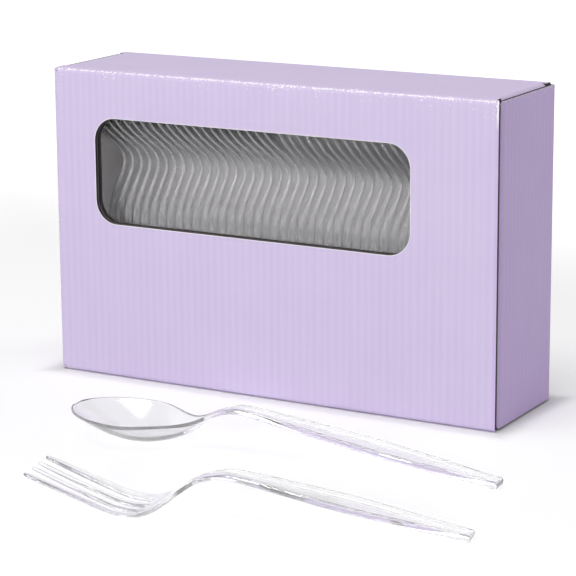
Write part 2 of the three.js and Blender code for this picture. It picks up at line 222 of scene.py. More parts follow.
def group_tree(kind: str, name: str, inputs: dict[str, str], outputs: dict[str, str]) -> bpy.types.NodeTree:
    """Makes a node group with named sockets.

    Args:
        kind: Tree type, such as ShaderNodeTree.
        name: Name of the group.
        inputs: Socket type of each input, by name.
        outputs: Socket type of each output, by name.

    Returns:
        The group with its input and output nodes in it.
    """
    tree = bpy.data.node_groups.new(name, kind)
    for socket_name, socket_type in inputs.items():
        tree.interface.new_socket(socket_name, in_out="INPUT", socket_type=socket_type)
    for socket_name, socket_type in outputs.items():
        tree.interface.new_socket(socket_name, in_out="OUTPUT", socket_type=socket_type)
    tree.nodes.new("NodeGroupInput")
    tree.nodes.new("NodeGroupOutput")
    return tree


def ends_of(tree: bpy.types.NodeTree) -> tuple[bpy.types.Node, bpy.types.Node]:
    """Gives the input and output nodes of a group."""
    entry = next(n for n in tree.nodes if n.bl_idname == "NodeGroupInput")
    result = next(n for n in tree.nodes if n.bl_idname == "NodeGroupOutput")
    return entry, result


@dataclass(frozen=True)
class BoardEffects:
    """Node groups that the finishes of the board share."""

    fluting: bpy.types.NodeTree
    fibres: bpy.types.NodeTree
    fold_wear: bpy.types.NodeTree

    @classmethod
    def build(cls) -> "BoardEffects":
        """Builds the three groups."""
        return cls(cls._fluting(), cls._fibres(), cls._fold_wear())

    def ridge(self, graph: Graph, place: bpy.types.NodeSocket, pitch: float) -> bpy.types.NodeSocket:
        """Places the fluting in a material and gives its ridges."""
        inputs = {"Across": graph.attribute("flute"), "Pitch": pitch, "Place": place}
        return graph.group(self.fluting, inputs).outputs["Ridge"]

    @staticmethod
    def _fluting() -> bpy.types.NodeTree:
        """Ridges of the fluted core that print through a liner, from 0 in a furrow to 1 on a ridge."""
        tree = group_tree(
            "ShaderNodeTree",
            "fluting",
            {"Across": "NodeSocketFloat", "Pitch": "NodeSocketFloat", "Place": "NodeSocketVector"},
            {"Ridge": "NodeSocketFloat"},
        )
        entry, result = ends_of(tree)
        graph = Graph(tree)
        waver = graph.noise(entry.outputs["Place"], 28.0, 2.0)
        drift = graph.math("MULTIPLY_ADD", waver, 0.9, -0.45)
        turns = graph.math("DIVIDE", entry.outputs["Across"], entry.outputs["Pitch"])
        angle = graph.math("MULTIPLY_ADD", turns, 2.0 * math.pi, drift)
        ridge = graph.math("MULTIPLY_ADD", graph.math("SINE", angle), 0.5, 0.5)
        graph.feed(result.inputs["Ridge"], ridge)
        return tree

    @staticmethod
    def _fibres() -> bpy.types.NodeTree:
        """Paper grain, cloudy unevenness and upright streaks of a liner, each about 0.5 on average."""
        tree = group_tree(
            "ShaderNodeTree",
            "paper_fibres",
            {"Place": "NodeSocketVector"},
            {"Grain": "NodeSocketFloat", "Clouds": "NodeSocketFloat", "Streaks": "NodeSocketFloat"},
        )
        entry, result = ends_of(tree)
        graph = Graph(tree)
        drawn = graph.vector("MULTIPLY", entry.outputs["Place"], (1.0, 1.0, 0.03))
        graph.feed(result.inputs["Streaks"], graph.noise(drawn, 700.0, 3.0, 0.6))
        graph.feed(result.inputs["Grain"], graph.noise(entry.outputs["Place"], 1500.0, 3.0, 0.65))
        graph.feed(result.inputs["Clouds"], graph.noise(entry.outputs["Place"], 40.0, 4.0, 0.55))
        return tree

    @staticmethod
    def _fold_wear() -> bpy.types.NodeTree:
        """Rubbed line and loose specks along the edges of a box, from 0 where whole to 1 where bare."""
        tree = group_tree(
            "ShaderNodeTree",
            "fold_wear",
            {
                "Place": "NodeSocketVector",
                "Centre": "NodeSocketVector",
                "Half": "NodeSocketVector",
                "Line": "NodeSocketFloat",
                "Reach": "NodeSocketFloat",
            },
            {"Bare": "NodeSocketFloat", "Distance": "NodeSocketFloat"},
        )
        entry, result = ends_of(tree)
        graph = Graph(tree)
        offset = graph.vector("SUBTRACT", entry.outputs["Place"], entry.outputs["Centre"])
        inward = graph.vector("SUBTRACT", entry.outputs["Half"], graph.vector("ABSOLUTE", offset))
        x, y, z = graph.add("ShaderNodeSeparateXYZ", {0: inward}).outputs
        nearer = graph.math("MINIMUM", x, y)
        farther = graph.math("MAXIMUM", x, y)
        distance = graph.math("MAXIMUM", nearer, graph.math("MINIMUM", farther, z))
        line = graph.math("SUBTRACT", 1.0, graph.math("DIVIDE", distance, entry.outputs["Line"]), clamp=True)
        fade = graph.math("SUBTRACT", 1.0, graph.math("DIVIDE", distance, entry.outputs["Reach"]), clamp=True)
        specks = graph.noise(entry.outputs["Place"], 1150.0, 2.0, 0.6)
        patches = graph.noise(entry.outputs["Place"], 130.0, 2.0, 0.5)
        rubbed = graph.ramp(graph.math("MULTIPLY_ADD", specks, 1.1, line), 0.96, 1.16)
        strength = graph.math("MULTIPLY", graph.math("POWER", fade, 1.7), graph.ramp(patches, 0.2, 0.7))
        threshold = graph.math("MULTIPLY_ADD", strength, -0.2, 0.71)
        loose = graph.ramp(graph.math("SUBTRACT", specks, threshold), 0.0, 0.06)
        graph.feed(result.inputs["Bare"], graph.math("MAXIMUM", rubbed, loose, clamp=True))
        graph.feed(result.inputs["Distance"], distance)
        return tree


def bare_material(name: str) -> tuple[bpy.types.Material, Graph, bpy.types.Node]:
    """Makes a node material with only its output.

    Args:
        name: Name of the material.

    Returns:
        The material, its graph and its output node.
    """
    material = bpy.data.materials.new(name)
    material.use_nodes = True
    material.node_tree.nodes.clear()
    graph = Graph(material.node_tree)
    return material, graph, graph.add("ShaderNodeOutputMaterial")


@dataclass(frozen=True)
class PrintedLiner:
    """Lilac print on the outer liner, rubbed bare along the folds, and tinted darker on the end panels as
    painted shade.
    """

    box_centre: tuple[float, float, float]
    box_half: tuple[float, float, float]
    flute_pitch: float
    light: Colour = (0.69, 0.60, 0.815, 1.0)
    deep: Colour = (0.60, 0.505, 0.735, 1.0)
    # Painted shade: the end panels are tinted darker and deeper than the front and top, for the shade on
    # them.
    end_painted_shade: Colour = (0.95, 0.87, 1.0, 1.0)
    bare: Colour = (0.93, 0.91, 0.95, 1.0)
    ridge_height: float = 0.09 * MM
    grain_height: float = 0.012 * MM
    chip_depth: float = 0.02 * MM
    wear_line: float = 1.8 * MM
    wear_reach: float = 8.0 * MM
    corner_wear: float = 0.55
    least_wear: float = 0.05
    gloss_level: float = 0.12

    def material(self, effects: BoardEffects) -> bpy.types.Material:
        """Builds the finish.

        Args:
            effects: Node groups of the board.

        Returns:
            The material of the outer faces.
        """
        material, graph, output = bare_material("lilac_print")
        place = graph.object_place()
        ridge = effects.ridge(graph, place, self.flute_pitch)
        fibres = graph.group(effects.fibres, {"Place": place})
        wear = graph.group(
            effects.fold_wear,
            {
                "Place": place,
                "Centre": self.box_centre,
                "Half": self.box_half,
                "Line": self.wear_line,
                "Reach": self.wear_reach,
            },
        )
        grain = fibres.outputs["Grain"]
        clouds = fibres.outputs["Clouds"]
        x, _, z = graph.add("ShaderNodeSeparateXYZ", {0: place}).outputs
        top = self.box_centre[2] + self.box_half[2]
        left = self.box_centre[0] - self.box_half[0]
        handled = graph.ramp(z, top - 14.0 * MM, top - 5.0 * MM)
        scuffed = graph.math("MULTIPLY", graph.ramp(x, left + 14.0 * MM, left + 3.0 * MM), self.corner_wear)
        exposed = graph.math("MAXIMUM", graph.math("MAXIMUM", handled, scuffed), self.least_wear)
        worn = graph.math("MULTIPLY", wear.outputs["Bare"], exposed)
        chipped = graph.ramp(graph.attribute("lip"), 0.1, 0.75)
        bare = graph.math("MAXIMUM", worn, chipped)
        tone = graph.math("MULTIPLY_ADD", ridge, 0.24, graph.math("MULTIPLY", clouds, 0.45))
        tone = graph.math("MULTIPLY_ADD", fibres.outputs["Streaks"], 0.5, tone)
        tone = graph.math("MULTIPLY_ADD", grain, 0.42, tone)
        colour = graph.mix(graph.math("ADD", tone, -0.26, clamp=True), self.deep, self.light)
        # Painted shade on the end panels: the print is tinted darker there.
        end = self.box_half[0]
        on_painted_end = graph.ramp(graph.math("ABSOLUTE", x), end - 2.0 * MM, end - 0.3 * MM)
        tint = graph.mix(on_painted_end, (1.0, 1.0, 1.0, 1.0), self.end_painted_shade)
        colour = graph.vector("MULTIPLY", colour, tint)
        colour = graph.mix(bare, colour, self.bare)
        roughness = graph.math("MULTIPLY_ADD", grain, 0.16, 0.44)
        roughness = graph.math("MULTIPLY_ADD", bare, 0.25, roughness, clamp=True)
        height = graph.math("MULTIPLY", ridge, self.ridge_height)
        height = graph.math("MULTIPLY_ADD", grain, self.grain_height, height)
        height = graph.math("MULTIPLY_ADD", bare, -self.chip_depth, height)
        bump = graph.add("ShaderNodeBump", {"Height": height, "Strength": 0.6, "Distance": 1.0})
        surface = graph.add(
            "ShaderNodeBsdfPrincipled",
            {
                "Base Color": colour,
                "Roughness": roughness,
                "Normal": bump.outputs[0],
                "Specular IOR Level": self.gloss_level,
            },
        )
        graph.feed(output.inputs["Surface"], surface.outputs[0])
        return material


@dataclass(frozen=True)
class PlainLiner:
    """Unprinted white inner liner with fibres in it."""

    flute_pitch: float
    pale: Colour = (0.91, 0.90, 0.90, 1.0)
    grey: Colour = (0.82, 0.80, 0.80, 1.0)

    def material(self, effects: BoardEffects) -> bpy.types.Material:
        """Builds the finish.

        Args:
            effects: Node groups of the board.

        Returns:
            The material of the inner faces.
        """
        material, graph, output = bare_material("plain_liner")
        place = graph.object_place()
        ridge = effects.ridge(graph, place, self.flute_pitch)
        fibres = graph.group(effects.fibres, {"Place": place})
        tone = graph.math("MULTIPLY_ADD", ridge, 0.3, fibres.outputs["Clouds"])
        tone = graph.math("MULTIPLY_ADD", fibres.outputs["Grain"], 0.8, tone)
        colour = graph.mix(graph.math("ADD", tone, -0.55, clamp=True), self.grey, self.pale)
        height = graph.math("MULTIPLY", ridge, 0.12 * MM)
        height = graph.math("MULTIPLY_ADD", fibres.outputs["Grain"], 0.03 * MM, height)
        bump = graph.add("ShaderNodeBump", {"Height": height, "Strength": 0.7, "Distance": 1.0})
        roughness = graph.math("MULTIPLY_ADD", fibres.outputs["Grain"], 0.2, 0.7)
        surface = graph.add(
            "ShaderNodeBsdfPrincipled",
            {"Base Color": colour, "Roughness": roughness, "Normal": bump.outputs[0]},
        )
        graph.feed(output.inputs["Surface"], surface.outputs[0])
        return material


@dataclass(frozen=True)
class CutEdge:
    """Cut edge of the board: two liners, and between them the fluted core with dark hollows. Its paper is
    painted far darker than raw board and its hollows near black, as painted shade in the gaps along the cut.
    """

    flute_pitch: float
    # Paper and print edge are partly painted shade: darker than raw board, for the shadow gaps along the cut.
    paper: Colour = (0.085, 0.07, 0.07, 1.0)
    print_edge: Colour = (0.30, 0.26, 0.32, 1.0)
    shade: Colour = (0.045, 0.037, 0.037, 1.0)
    # Painted shade in the hollows between the flutes.
    hollow: Colour = (0.012, 0.010, 0.010, 1.0)

    def material(self, effects: BoardEffects) -> bpy.types.Material:
        """Builds the finish.

        Args:
            effects: Node groups of the board.

        Returns:
            The material of the cut edges.
        """
        material, graph, output = bare_material("cut_edge")
        place = graph.object_place()
        depth = graph.attribute("depth")
        ridge = effects.ridge(graph, place, self.flute_pitch)
        fibres = graph.group(effects.fibres, {"Place": place})
        core_line = graph.math("MULTIPLY_ADD", ridge, 0.6, 0.2)
        from_core = graph.math("ABSOLUTE", graph.math("SUBTRACT", depth, core_line))
        core = graph.ramp(from_core, 0.15, 0.09)
        from_middle = graph.math("ABSOLUTE", graph.math("SUBTRACT", depth, 0.5))
        liners = graph.ramp(from_middle, 0.33, 0.37)
        solid = graph.math("MAXIMUM", core, liners)
        paper = graph.mix(graph.ramp(depth, 0.12, 0.08), self.paper, self.print_edge)
        paper = graph.mix(graph.math("MULTIPLY", fibres.outputs["Grain"], 0.5), paper, self.shade)
        colour = graph.mix(solid, self.hollow, paper)
        bump = graph.add(
            "ShaderNodeBump",
            {"Height": graph.math("MULTIPLY", solid, 0.25 * MM), "Strength": 0.8, "Distance": 1.0},
        )
        surface = graph.add(
            "ShaderNodeBsdfPrincipled",
            {"Base Color": colour, "Roughness": 0.85, "Normal": bump.outputs[0]},
        )
        graph.feed(output.inputs["Surface"], surface.outputs[0])
        return material


@dataclass(frozen=True)
class FrostedHighlightRim:
    """Rims of pieces that rub against each other: rougher gloss and a fine ripple, with painted highlights in
    a paler, streaked colour.
    """

    # Painted highlight: the rim colour is streaked between these two.
    tint: Colour = (0.99, 0.99, 0.993, 1.0)
    shade: Colour = (0.86, 0.857, 0.87, 1.0)
    frost: float = 0.06
    ripple: float = 0.05 * MM


@dataclass(frozen=True)
class ClearPlastic:
    """Clear moulded plastic with a faint flow mark in its gloss. Lamps shine through it."""

    name: str
    tint: Colour
    lamp_tint: Colour
    gloss: float
    clearness: float
    # Rims, where given, carry painted highlights.
    rim: FrostedHighlightRim | None = None
    refraction: float = 1.57
    flow_height: float = 0.06 * MM

    def material(self) -> bpy.types.Material:
        """Builds the finish.

        Returns:
            The material of the spoons and forks.
        """
        material, graph, output = bare_material(self.name)
        place = graph.object_place()
        flow = graph.noise(place, 55.0, 2.0, 0.4)
        colour: object = self.tint
        roughness = graph.math("MULTIPLY_ADD", flow, 0.03, self.gloss)
        height = graph.math("MULTIPLY", flow, self.flow_height)
        if self.rim:
            # Painted highlights: the rims take a paler colour in streaks, and the streaks also ripple the
            # bumps.
            rim_highlight_and_frost = graph.ramp(graph.attribute("rim"), 0.35, 0.8)
            drawn = graph.vector("MULTIPLY", place, (1.0, 1.0, 0.12))
            streak_and_highlight = graph.ramp(graph.noise(drawn, 900.0, 2.0), 0.38, 0.62)
            painted_rim_highlight = graph.mix(streak_and_highlight, self.rim.shade, self.rim.tint)
            colour = graph.mix(rim_highlight_and_frost, self.tint, painted_rim_highlight)
            roughness = graph.math("MULTIPLY_ADD", rim_highlight_and_frost, self.rim.frost, roughness)
            height = graph.math("MULTIPLY_ADD", streak_and_highlight, self.rim.ripple, height)
        bump = graph.add("ShaderNodeBump", {"Height": height, "Strength": 1.0, "Distance": 1.0})
        plastic = graph.add(
            "ShaderNodeBsdfPrincipled",
            {
                "Base Color": colour,
                "Roughness": roughness,
                "Normal": bump.outputs[0],
                "Transmission Weight": self.clearness,
                "IOR": self.refraction,
            },
        )
        through = graph.add("ShaderNodeBsdfTransparent", {"Color": self.lamp_tint})
        path = graph.add("ShaderNodeLightPath")
        surface = graph.add(
            "ShaderNodeMixShader",
            {0: path.outputs["Is Shadow Ray"], 1: plastic.outputs[0], 2: through.outputs[0]},
        )
        graph.feed(output.inputs["Surface"], surface.outputs[0])
        return material


@dataclass(frozen=True)
class BoardFinishes:
    """Materials of a sheet of board, in the order of their slots."""

    outer: bpy.types.Material
    inner: bpy.types.Material
    edge: bpy.types.Material

    def dress(self, mesh: bpy.types.Mesh) -> None:
        """Fills a mesh's three slots."""
        for i, material in enumerate((self.outer, self.inner, self.edge)):
            mesh.materials[i] = material


@dataclass
class Skin:
    """Outer skin of a sheet of board, gathered face by face.

    Each corner is a place and its distance along the unfolded sheet, across the flutes.
    """

    places: list[Vector] = field(default_factory=list)
    flutes: list[float] = field(default_factory=list)
    lips: list[float] = field(default_factory=list)
    faces: list[tuple[int, ...]] = field(default_factory=list)

    def corner(self, place: Sequence[float], flute: float, lip: float = 0.0) -> int:
        """Adds a corner and gives its number. A lip of 1 is a cut edge with the print chipped off."""
        self.places.append(Vector(place))
        self.flutes.append(flute)
        self.lips.append(lip)
        return len(self.places) - 1

    def face(self, *corners: tuple) -> None:
        """Adds a face between corners given as place, flute distance and, where it isn't 0, lip."""
        self.faces.append(tuple(self.corner(*corner) for corner in corners))

    def solid(self, name: str, thickness: float, facing: Vector) -> bpy.types.Mesh:
        """Closes the skin into a sheet of board.

        Args:
            name: Name of the mesh.
            thickness: Thickness of the board, which goes inwards.
            facing: Direction that the first face is to look in.

        Returns:
            A mesh with outer, inner and cut faces in slots 0, 1 and 2, and the attributes flute, lip and
            depth.
        """
        mesh = bpy.data.meshes.new(name)
        mesh.from_pydata(self.places, [], self.faces)
        for name_of, numbers in (("flute", self.flutes), ("lip", self.lips)):
            stored = mesh.attributes.new(name_of, "FLOAT", "POINT")
            stored.data.foreach_set("value", numbers)
        work = bmesh.new()
        work.from_mesh(mesh)
        bmesh.ops.remove_doubles(work, verts=work.verts, dist=0.01 * MM)
        bmesh.ops.recalc_face_normals(work, faces=work.faces)
        work.faces.ensure_lookup_table()
        if work.faces[0].normal.dot(facing) < 0.0:
            bmesh.ops.reverse_faces(work, faces=work.faces)
        work.to_mesh(mesh)
        work.free()
        outer_count = len(mesh.vertices)
        piece = new_object(name, mesh)
        wall = piece.modifiers.new("wall", "SOLIDIFY")
        wall.thickness = thickness
        wall.offset = -1.0
        wall.use_even_offset = True
        wall.use_rim = True
        wall.material_offset = 1
        wall.material_offset_rim = 2
        for _ in range(3):
            mesh.materials.append(None)
        closed = settle_mesh(piece)
        bpy.data.objects.remove(piece)
        depth = closed.attributes.new("depth", "FLOAT", "POINT")
        values = [0.0 if i < outer_count else 1.0 for i in range(len(closed.vertices))]
        depth.data.foreach_set("value", values)
        shade(closed)
        return closed


@dataclass
class Carton:
    """Reverse-tuck carton of thin corrugated board with a window in its front panel."""

    finishes: BoardFinishes
    width: float
    depth: float
    height: float
    board: float = 1.6 * MM
    fold_radius: float = 2.4 * MM
    board_gap: float = 0.3 * MM
    flute_pitch: float = 3.4 * MM
    window_width: float = 150.6 * MM
    window_height: float = 45.8 * MM
    window_from_left: float = 21.2 * MM
    window_from_top: float = 20.4 * MM
    window_radius: float = 10.0 * MM
    glue_strip: float = 16.0 * MM
    glue_strip_taper: float = 6.0 * MM
    flap_edge_gap: float = 0.8 * MM
    tuck_gap: float = 1.6 * MM
    tuck_length: float = 16.0 * MM
    tuck_shoulder: float = 1.5 * MM
    tuck_corner: float = 8.0 * MM
    dust_length: float = 42.0 * MM
    dust_taper: float = 9.0 * MM
    dust_corner: float = 5.0 * MM
    dust_clearance: float = 1.2 * MM
    lip_width: float = 0.45 * MM
    # Depth and width of the dark ring behind the window, which is painted shade round the window's edge.
    shade_collar_depth: float = 3.0 * MM
    shade_collar_width: float = 2.6 * MM
    fold_steps: int = 10
    corner_steps: int = 12

    @property
    def end_x(self) -> float:
        """Outer face of the right end panel."""
        return self.width / 2.0

    @property
    def side_y(self) -> float:
        """Outer face of the back panel."""
        return self.depth / 2.0

    @property
    def crease_x(self) -> float:
        """Where the back panel starts to bend into the right end panel."""
        return self.end_x - self.fold_radius

    @property
    def crease_y(self) -> float:
        """Where the bend from the back panel becomes the right end panel."""
        return self.side_y - self.fold_radius

    @property
    def dust_fold_x(self) -> float:
        """Where the top panel starts to bend into its right dust flap."""
        return self.end_x - self.board - self.board_gap - self.fold_radius

    @property
    def dust_x(self) -> float:
        """Outer face of a right dust flap."""
        return self.dust_fold_x + self.fold_radius

    @property
    def dust_half(self) -> float:
        """Half the width of a dust flap at its fold."""
        return self.side_y - 2.0 * self.board - self.tuck_gap - self.dust_clearance

    @property
    def fold_low(self) -> float:
        """Where the front and back panels begin, above the bottom folds."""
        return self.fold_radius

    @property
    def fold_high(self) -> float:
        """Where the front and back panels end, below the top folds."""
        return self.height - self.fold_radius

    def sleeve(self) -> bpy.types.Object:
        """Builds the folded sheet of panels and dust flaps, with the glue strip in it.

        Returns:
            The piece, which stands for the sleeve.
        """
        skin = Skin()
        self._top_panel(skin)
        self._folds(skin)
        self._back_panel(skin)
        self._front_panel(skin)
        for end in End:
            for upper in (True, False):
                self._dust_flap(skin, end, upper)
        sheet = skin.solid("sleeve_board", self.board, Vector((0.0, 0.0, 1.0)))
        work = bmesh.new()
        # The glue strip, and the dark ring behind the window, which is painted shade round its edge.
        for mesh in (sheet, self._glue_strip(), self._window_shade_collar()):
            work.from_mesh(mesh)
        work.to_mesh(sheet)
        work.free()
        self.finishes.dress(sheet)
        piece = new_object("sleeve_board", sheet)
        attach(piece, Body.CARTON.value)
        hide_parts("carton_sleeve")
        return piece

    def _top_panel(self, skin: Skin) -> None:
        """Adds the top and bottom panels, with corners where the dust flaps start."""
        inner = self.dust_fold_x
        for z in (self.height, 0.0):
            self._top_strip(skin, (-inner, inner), (-self.dust_half, self.dust_half), z)
            for side in (-1, 1):
                left, right = self._fold_limits(side, 1.0)
                columns = (left, -inner, inner, right)
                rows = (side * self.dust_half, side * self.crease_y)
                for ends in zip(columns, columns[1:]):
                    self._top_strip(skin, ends, rows, z)

    @staticmethod
    def _top_strip(skin: Skin, columns: Point, rows: Point, z: float) -> None:
        """Adds a level four-sided face."""
        (left, right), (near, far) = columns, rows
        skin.face(
            ((left, near, z), left),
            ((right, near, z), right),
            ((right, far, z), right),
            ((left, far, z), left),
        )

    def _fold_limits(self, side: int, turn: float) -> tuple[float, float]:
        """Left and right ends of a long fold, which draw in towards the top or bottom panel.

        Args:
            side: -1 for the front, 1 for the back.
            turn: Share of the bend, from 0 at the upright panel.

        Returns:
            The lowest and the highest X.
        """
        raw = lerp(self.end_x, self.dust_x, turn**3)
        creased = lerp(self.crease_x, self.dust_x, turn**2)
        return (-raw, creased) if side > 0 else (-creased, raw)

    def _folds(self, skin: Skin) -> None:
        """Adds the four long folds between the upright panels and the top and bottom panels."""
        for side in (-1, 1):
            for upper in (True, False):
                rows = []
                for turn in steps(self.fold_steps):
                    angle = turn * math.pi / 2.0
                    y = side * (self.crease_y + self.fold_radius * math.cos(angle))
                    rise = self.fold_radius * math.sin(angle)
                    z = self.fold_high + rise if upper else self.fold_low - rise
                    left, right = self._fold_limits(side, turn)
                    columns = (left, -self.dust_fold_x, self.dust_fold_x, right)
                    rows.append([((x, y, z), x) for x in columns])
                for low, high in zip(rows, rows[1:]):
                    for i in range(3):
                        skin.face(low[i], low[i + 1], high[i + 1], high[i])

    def _back_panel(self, skin: Skin) -> None:
        """Adds the back panel, from its cut left edge to the crease of the right end flap."""
        columns = (-self.end_x, -self.dust_fold_x, self.dust_fold_x, self.crease_x)
        for left, right in zip(columns, columns[1:]):
            skin.face(
                ((left, self.side_y, self.fold_low), left),
                ((left, self.side_y, self.fold_high), left),
                ((right, self.side_y, self.fold_high), right),
                ((right, self.side_y, self.fold_low), right),
            )

    def window_outline(self, outset: float = 0.0) -> list[Point]:
        """Gives the window's outline in X and Z, corner after corner.

        Args:
            outset: How far outside the window's edge the outline runs.

        Returns:
            The points of the outline.
        """
        left = self.window_from_left - self.end_x
        right = left + self.window_width
        top = self.height - self.window_from_top
        bottom = top - self.window_height
        r = self.window_radius
        middles = (
            (right - r, bottom + r, -90.0),
            (right - r, top - r, 0.0),
            (left + r, top - r, 90.0),
            (left + r, bottom + r, 180.0),
        )
        outline = []
        for x, z, start in middles:
            for share in steps(self.corner_steps):
                angle = math.radians(start + 90.0 * share)
                reach = r + outset
                outline.append((x + reach * math.cos(angle), z + reach * math.sin(angle)))
        return outline

    def _front_panel(self, skin: Skin) -> None:
        """Adds the front panel round its window, from the left end flap's crease to its cut right edge."""
        columns = (-self.crease_x, -self.dust_fold_x, self.dust_fold_x, self.end_x)
        frame_points = [(x, self.fold_low) for x in columns]
        frame_points += [(x, self.fold_high) for x in reversed(columns)]
        edge = self.window_outline()
        whole = self.window_outline(self.lip_width)
        following = (edge[1:] + edge[:1], whole[1:] + whole[:1])
        for a, b, c, d in zip(edge, whole, following[1], following[0]):
            ring = ((a, 1.0), (b, 0.0), (c, 0.0), (d, 1.0))
            skin.face(*[((x, -self.side_y, z), x, lip) for (x, z), lip in ring])
        work = bmesh.new()
        for outline in (frame_points, whole):
            corners = [work.verts.new((x, -self.side_y, z)) for x, z in outline]
            for start, end in zip(corners, corners[1:] + corners[:1]):
                work.edges.new((start, end))
        bmesh.ops.triangle_fill(work, edges=work.edges, use_beauty=True)
        for face in work.faces:
            skin.face(*[(v.co.copy(), v.co.x) for v in face.verts])
        work.free()

    def _window_shade_collar(self) -> bpy.types.Mesh:
        """Builds a dark ring of cut-edge board behind the window's edge, a painted shadow that stands in for
        the shade round the window.
        """
        front = -self.side_y + self.board
        back = front + self.shade_collar_depth
        outlines = (self.window_outline(), self.window_outline(self.shade_collar_width))
        loops = [(outlines[0], front, 0.0), (outlines[0], back, 1.0)]
        loops += [(outlines[1], back, 1.0), (outlines[1], front, 0.0)]
        points, flutes, depths, faces = [], [], [], []
        count = len(outlines[0])
        for outline, y, depth in loops:
            points += [(x, y, z) for x, z in outline]
            flutes += [x for x, _ in outline]
            depths += [depth] * count
        for ring in range(4):
            near, far = ring * count, (ring + 1) % 4 * count
            for i in range(count):
                j = (i + 1) % count
                faces.append((near + i, near + j, far + j, far + i))
        mesh = bpy.data.meshes.new("window_collar")
        mesh.from_pydata(points, [], faces)
        for name, numbers in (("flute", flutes), ("lip", [0.0] * len(points)), ("depth", depths)):
            mesh.attributes.new(name, "FLOAT", "POINT").data.foreach_set("value", numbers)
        for _ in range(3):
            mesh.materials.append(None)
        mesh.polygons.foreach_set("material_index", [2] * len(faces))
        work = bmesh.new()
        work.from_mesh(mesh)
        bmesh.ops.recalc_face_normals(work, faces=work.faces)
        work.to_mesh(mesh)
        work.free()
        shade(mesh)
        return mesh

    def _dust_flap(self, skin: Skin, end: End, upper: bool) -> None:
        """Adds a dust flap, bent from the top or bottom panel.

        Args:
            skin: Skin to add to.
            end: End of the carton.
            upper: True for the flap of the top panel.
        """
        rows = []
        for turn in steps(self.fold_steps):
            angle = turn * math.pi / 2.0
            x = self.dust_fold_x + self.fold_radius * math.sin(angle)
            drop = self.fold_radius * (1.0 - math.cos(angle))
            rows.append((x, drop, self.dust_half, self.dust_fold_x + self.fold_radius * angle))
        face_x = self.dust_x
        bent = rows[-1][3] - self.fold_radius
        edge_half = self.dust_half - self.dust_taper
        for turn in steps(self.corner_steps // 2):
            angle = turn * math.pi / 2.0
            half = edge_half - self.dust_corner * (1.0 - math.cos(angle))
            drop = self.dust_length - self.dust_corner * (1.0 - math.sin(angle))
            rows.append((face_x, drop, half, bent + drop))
        for near, far in zip(rows, rows[1:]):
            corners = []
            for x, drop, half, flute in (near, far):
                z = self.height - drop if upper else drop
                corners += [((end.value * x, y, z), end.value * flute) for y in (-half, half)]
            skin.face(corners[0], corners[1], corners[3], corners[2])

    def _glue_strip(self) -> bpy.types.Mesh:
        """Builds the strip that is folded up from the bottom panel and glued inside the back panel."""
        reach = self.dust_fold_x - self.board
        y = self.side_y - self.board - 0.05 * MM
        low = self.board + 0.05 * MM
        skin = Skin()
        corners = (
            (-reach, low),
            (reach, low),
            (reach - self.glue_strip_taper, self.glue_strip),
            (self.glue_strip_taper - reach, self.glue_strip),
        )
        skin.face(*[((x, y, z), x) for x, z in corners])
        return skin.solid("glue_strip", self.board, Vector((0.0, 1.0, 0.0)))

    def end_flap(self, end: End) -> bpy.types.Object:
        """Builds an end panel with its tuck.

        Args:
            end: End of the carton.

        Returns:
            The piece, which stands for the end flap.
        """
        reach = self.depth - self.board - self.tuck_gap
        lean = math.asin((self.tuck_length + 2.0 * self.fold_radius) / (2.0 * reach))
        front_y = self.side_y - reach
        fold_x = self.end_x - self.fold_radius
        fold_y = front_y + self.fold_radius
        low = self.flap_edge_gap
        high = self.height - self.flap_edge_gap
        shoulder = self.tuck_shoulder
        start = self.end_x + self.fold_radius * (math.pi / 2.0 - 2.0)

        rows: list[tuple[float, float, float, float]] = [(self.end_x, self.crease_y, 0.0, 0.0)]
        walked = self.crease_y - fold_y
        bend = math.pi / 2.0 + lean
        for turn in steps(self.fold_steps):
            angle = -bend * turn
            x = fold_x + self.fold_radius * math.cos(angle)
            y = fold_y + self.fold_radius * math.sin(angle)
            drawn = shoulder * smoothstep((turn - 0.45) / 0.12)
            rows.append((x, y, walked + self.fold_radius * bend * turn, drawn))
        tuck_x, tuck_y, tuck_start, _ = rows[-1]
        flat = self.tuck_length - self.tuck_corner
        rows_in_tuck = [(flat, shoulder)]
        for turn in steps(self.corner_steps)[1:]:
            angle = turn * math.pi / 2.0
            along = flat + self.tuck_corner * math.sin(angle)
            rows_in_tuck.append((along, shoulder + self.tuck_corner * (1.0 - math.cos(angle))))
        for along, drawn in rows_in_tuck:
            x = tuck_x - along * math.cos(lean)
            y = tuck_y + along * math.sin(lean)
            rows.append((x, y, tuck_start + along, drawn))

        skin = Skin()
        for near, far in zip(rows, rows[1:]):
            corners = []
            for x, y, across, drawn in (near, far):
                place = (end.value * x, end.value * y)
                flute = end.value * (start + across)
                corners += [((*place, low + drawn), flute), ((*place, high - drawn), flute)]
            skin.face(corners[0], corners[1], corners[3], corners[2])
        body = Body.RIGHT_FLAP if end is End.RIGHT else Body.LEFT_FLAP
        mesh = skin.solid(f"{body.value}_board", self.board, Vector((float(end.value), 0.0, 0.0)))
        self.finishes.dress(mesh)
        piece = new_object(f"{body.value}_board", mesh)
        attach(piece, body.value)
        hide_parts("right_end_flap" if end is End.RIGHT else "left_end_flap")
        return piece

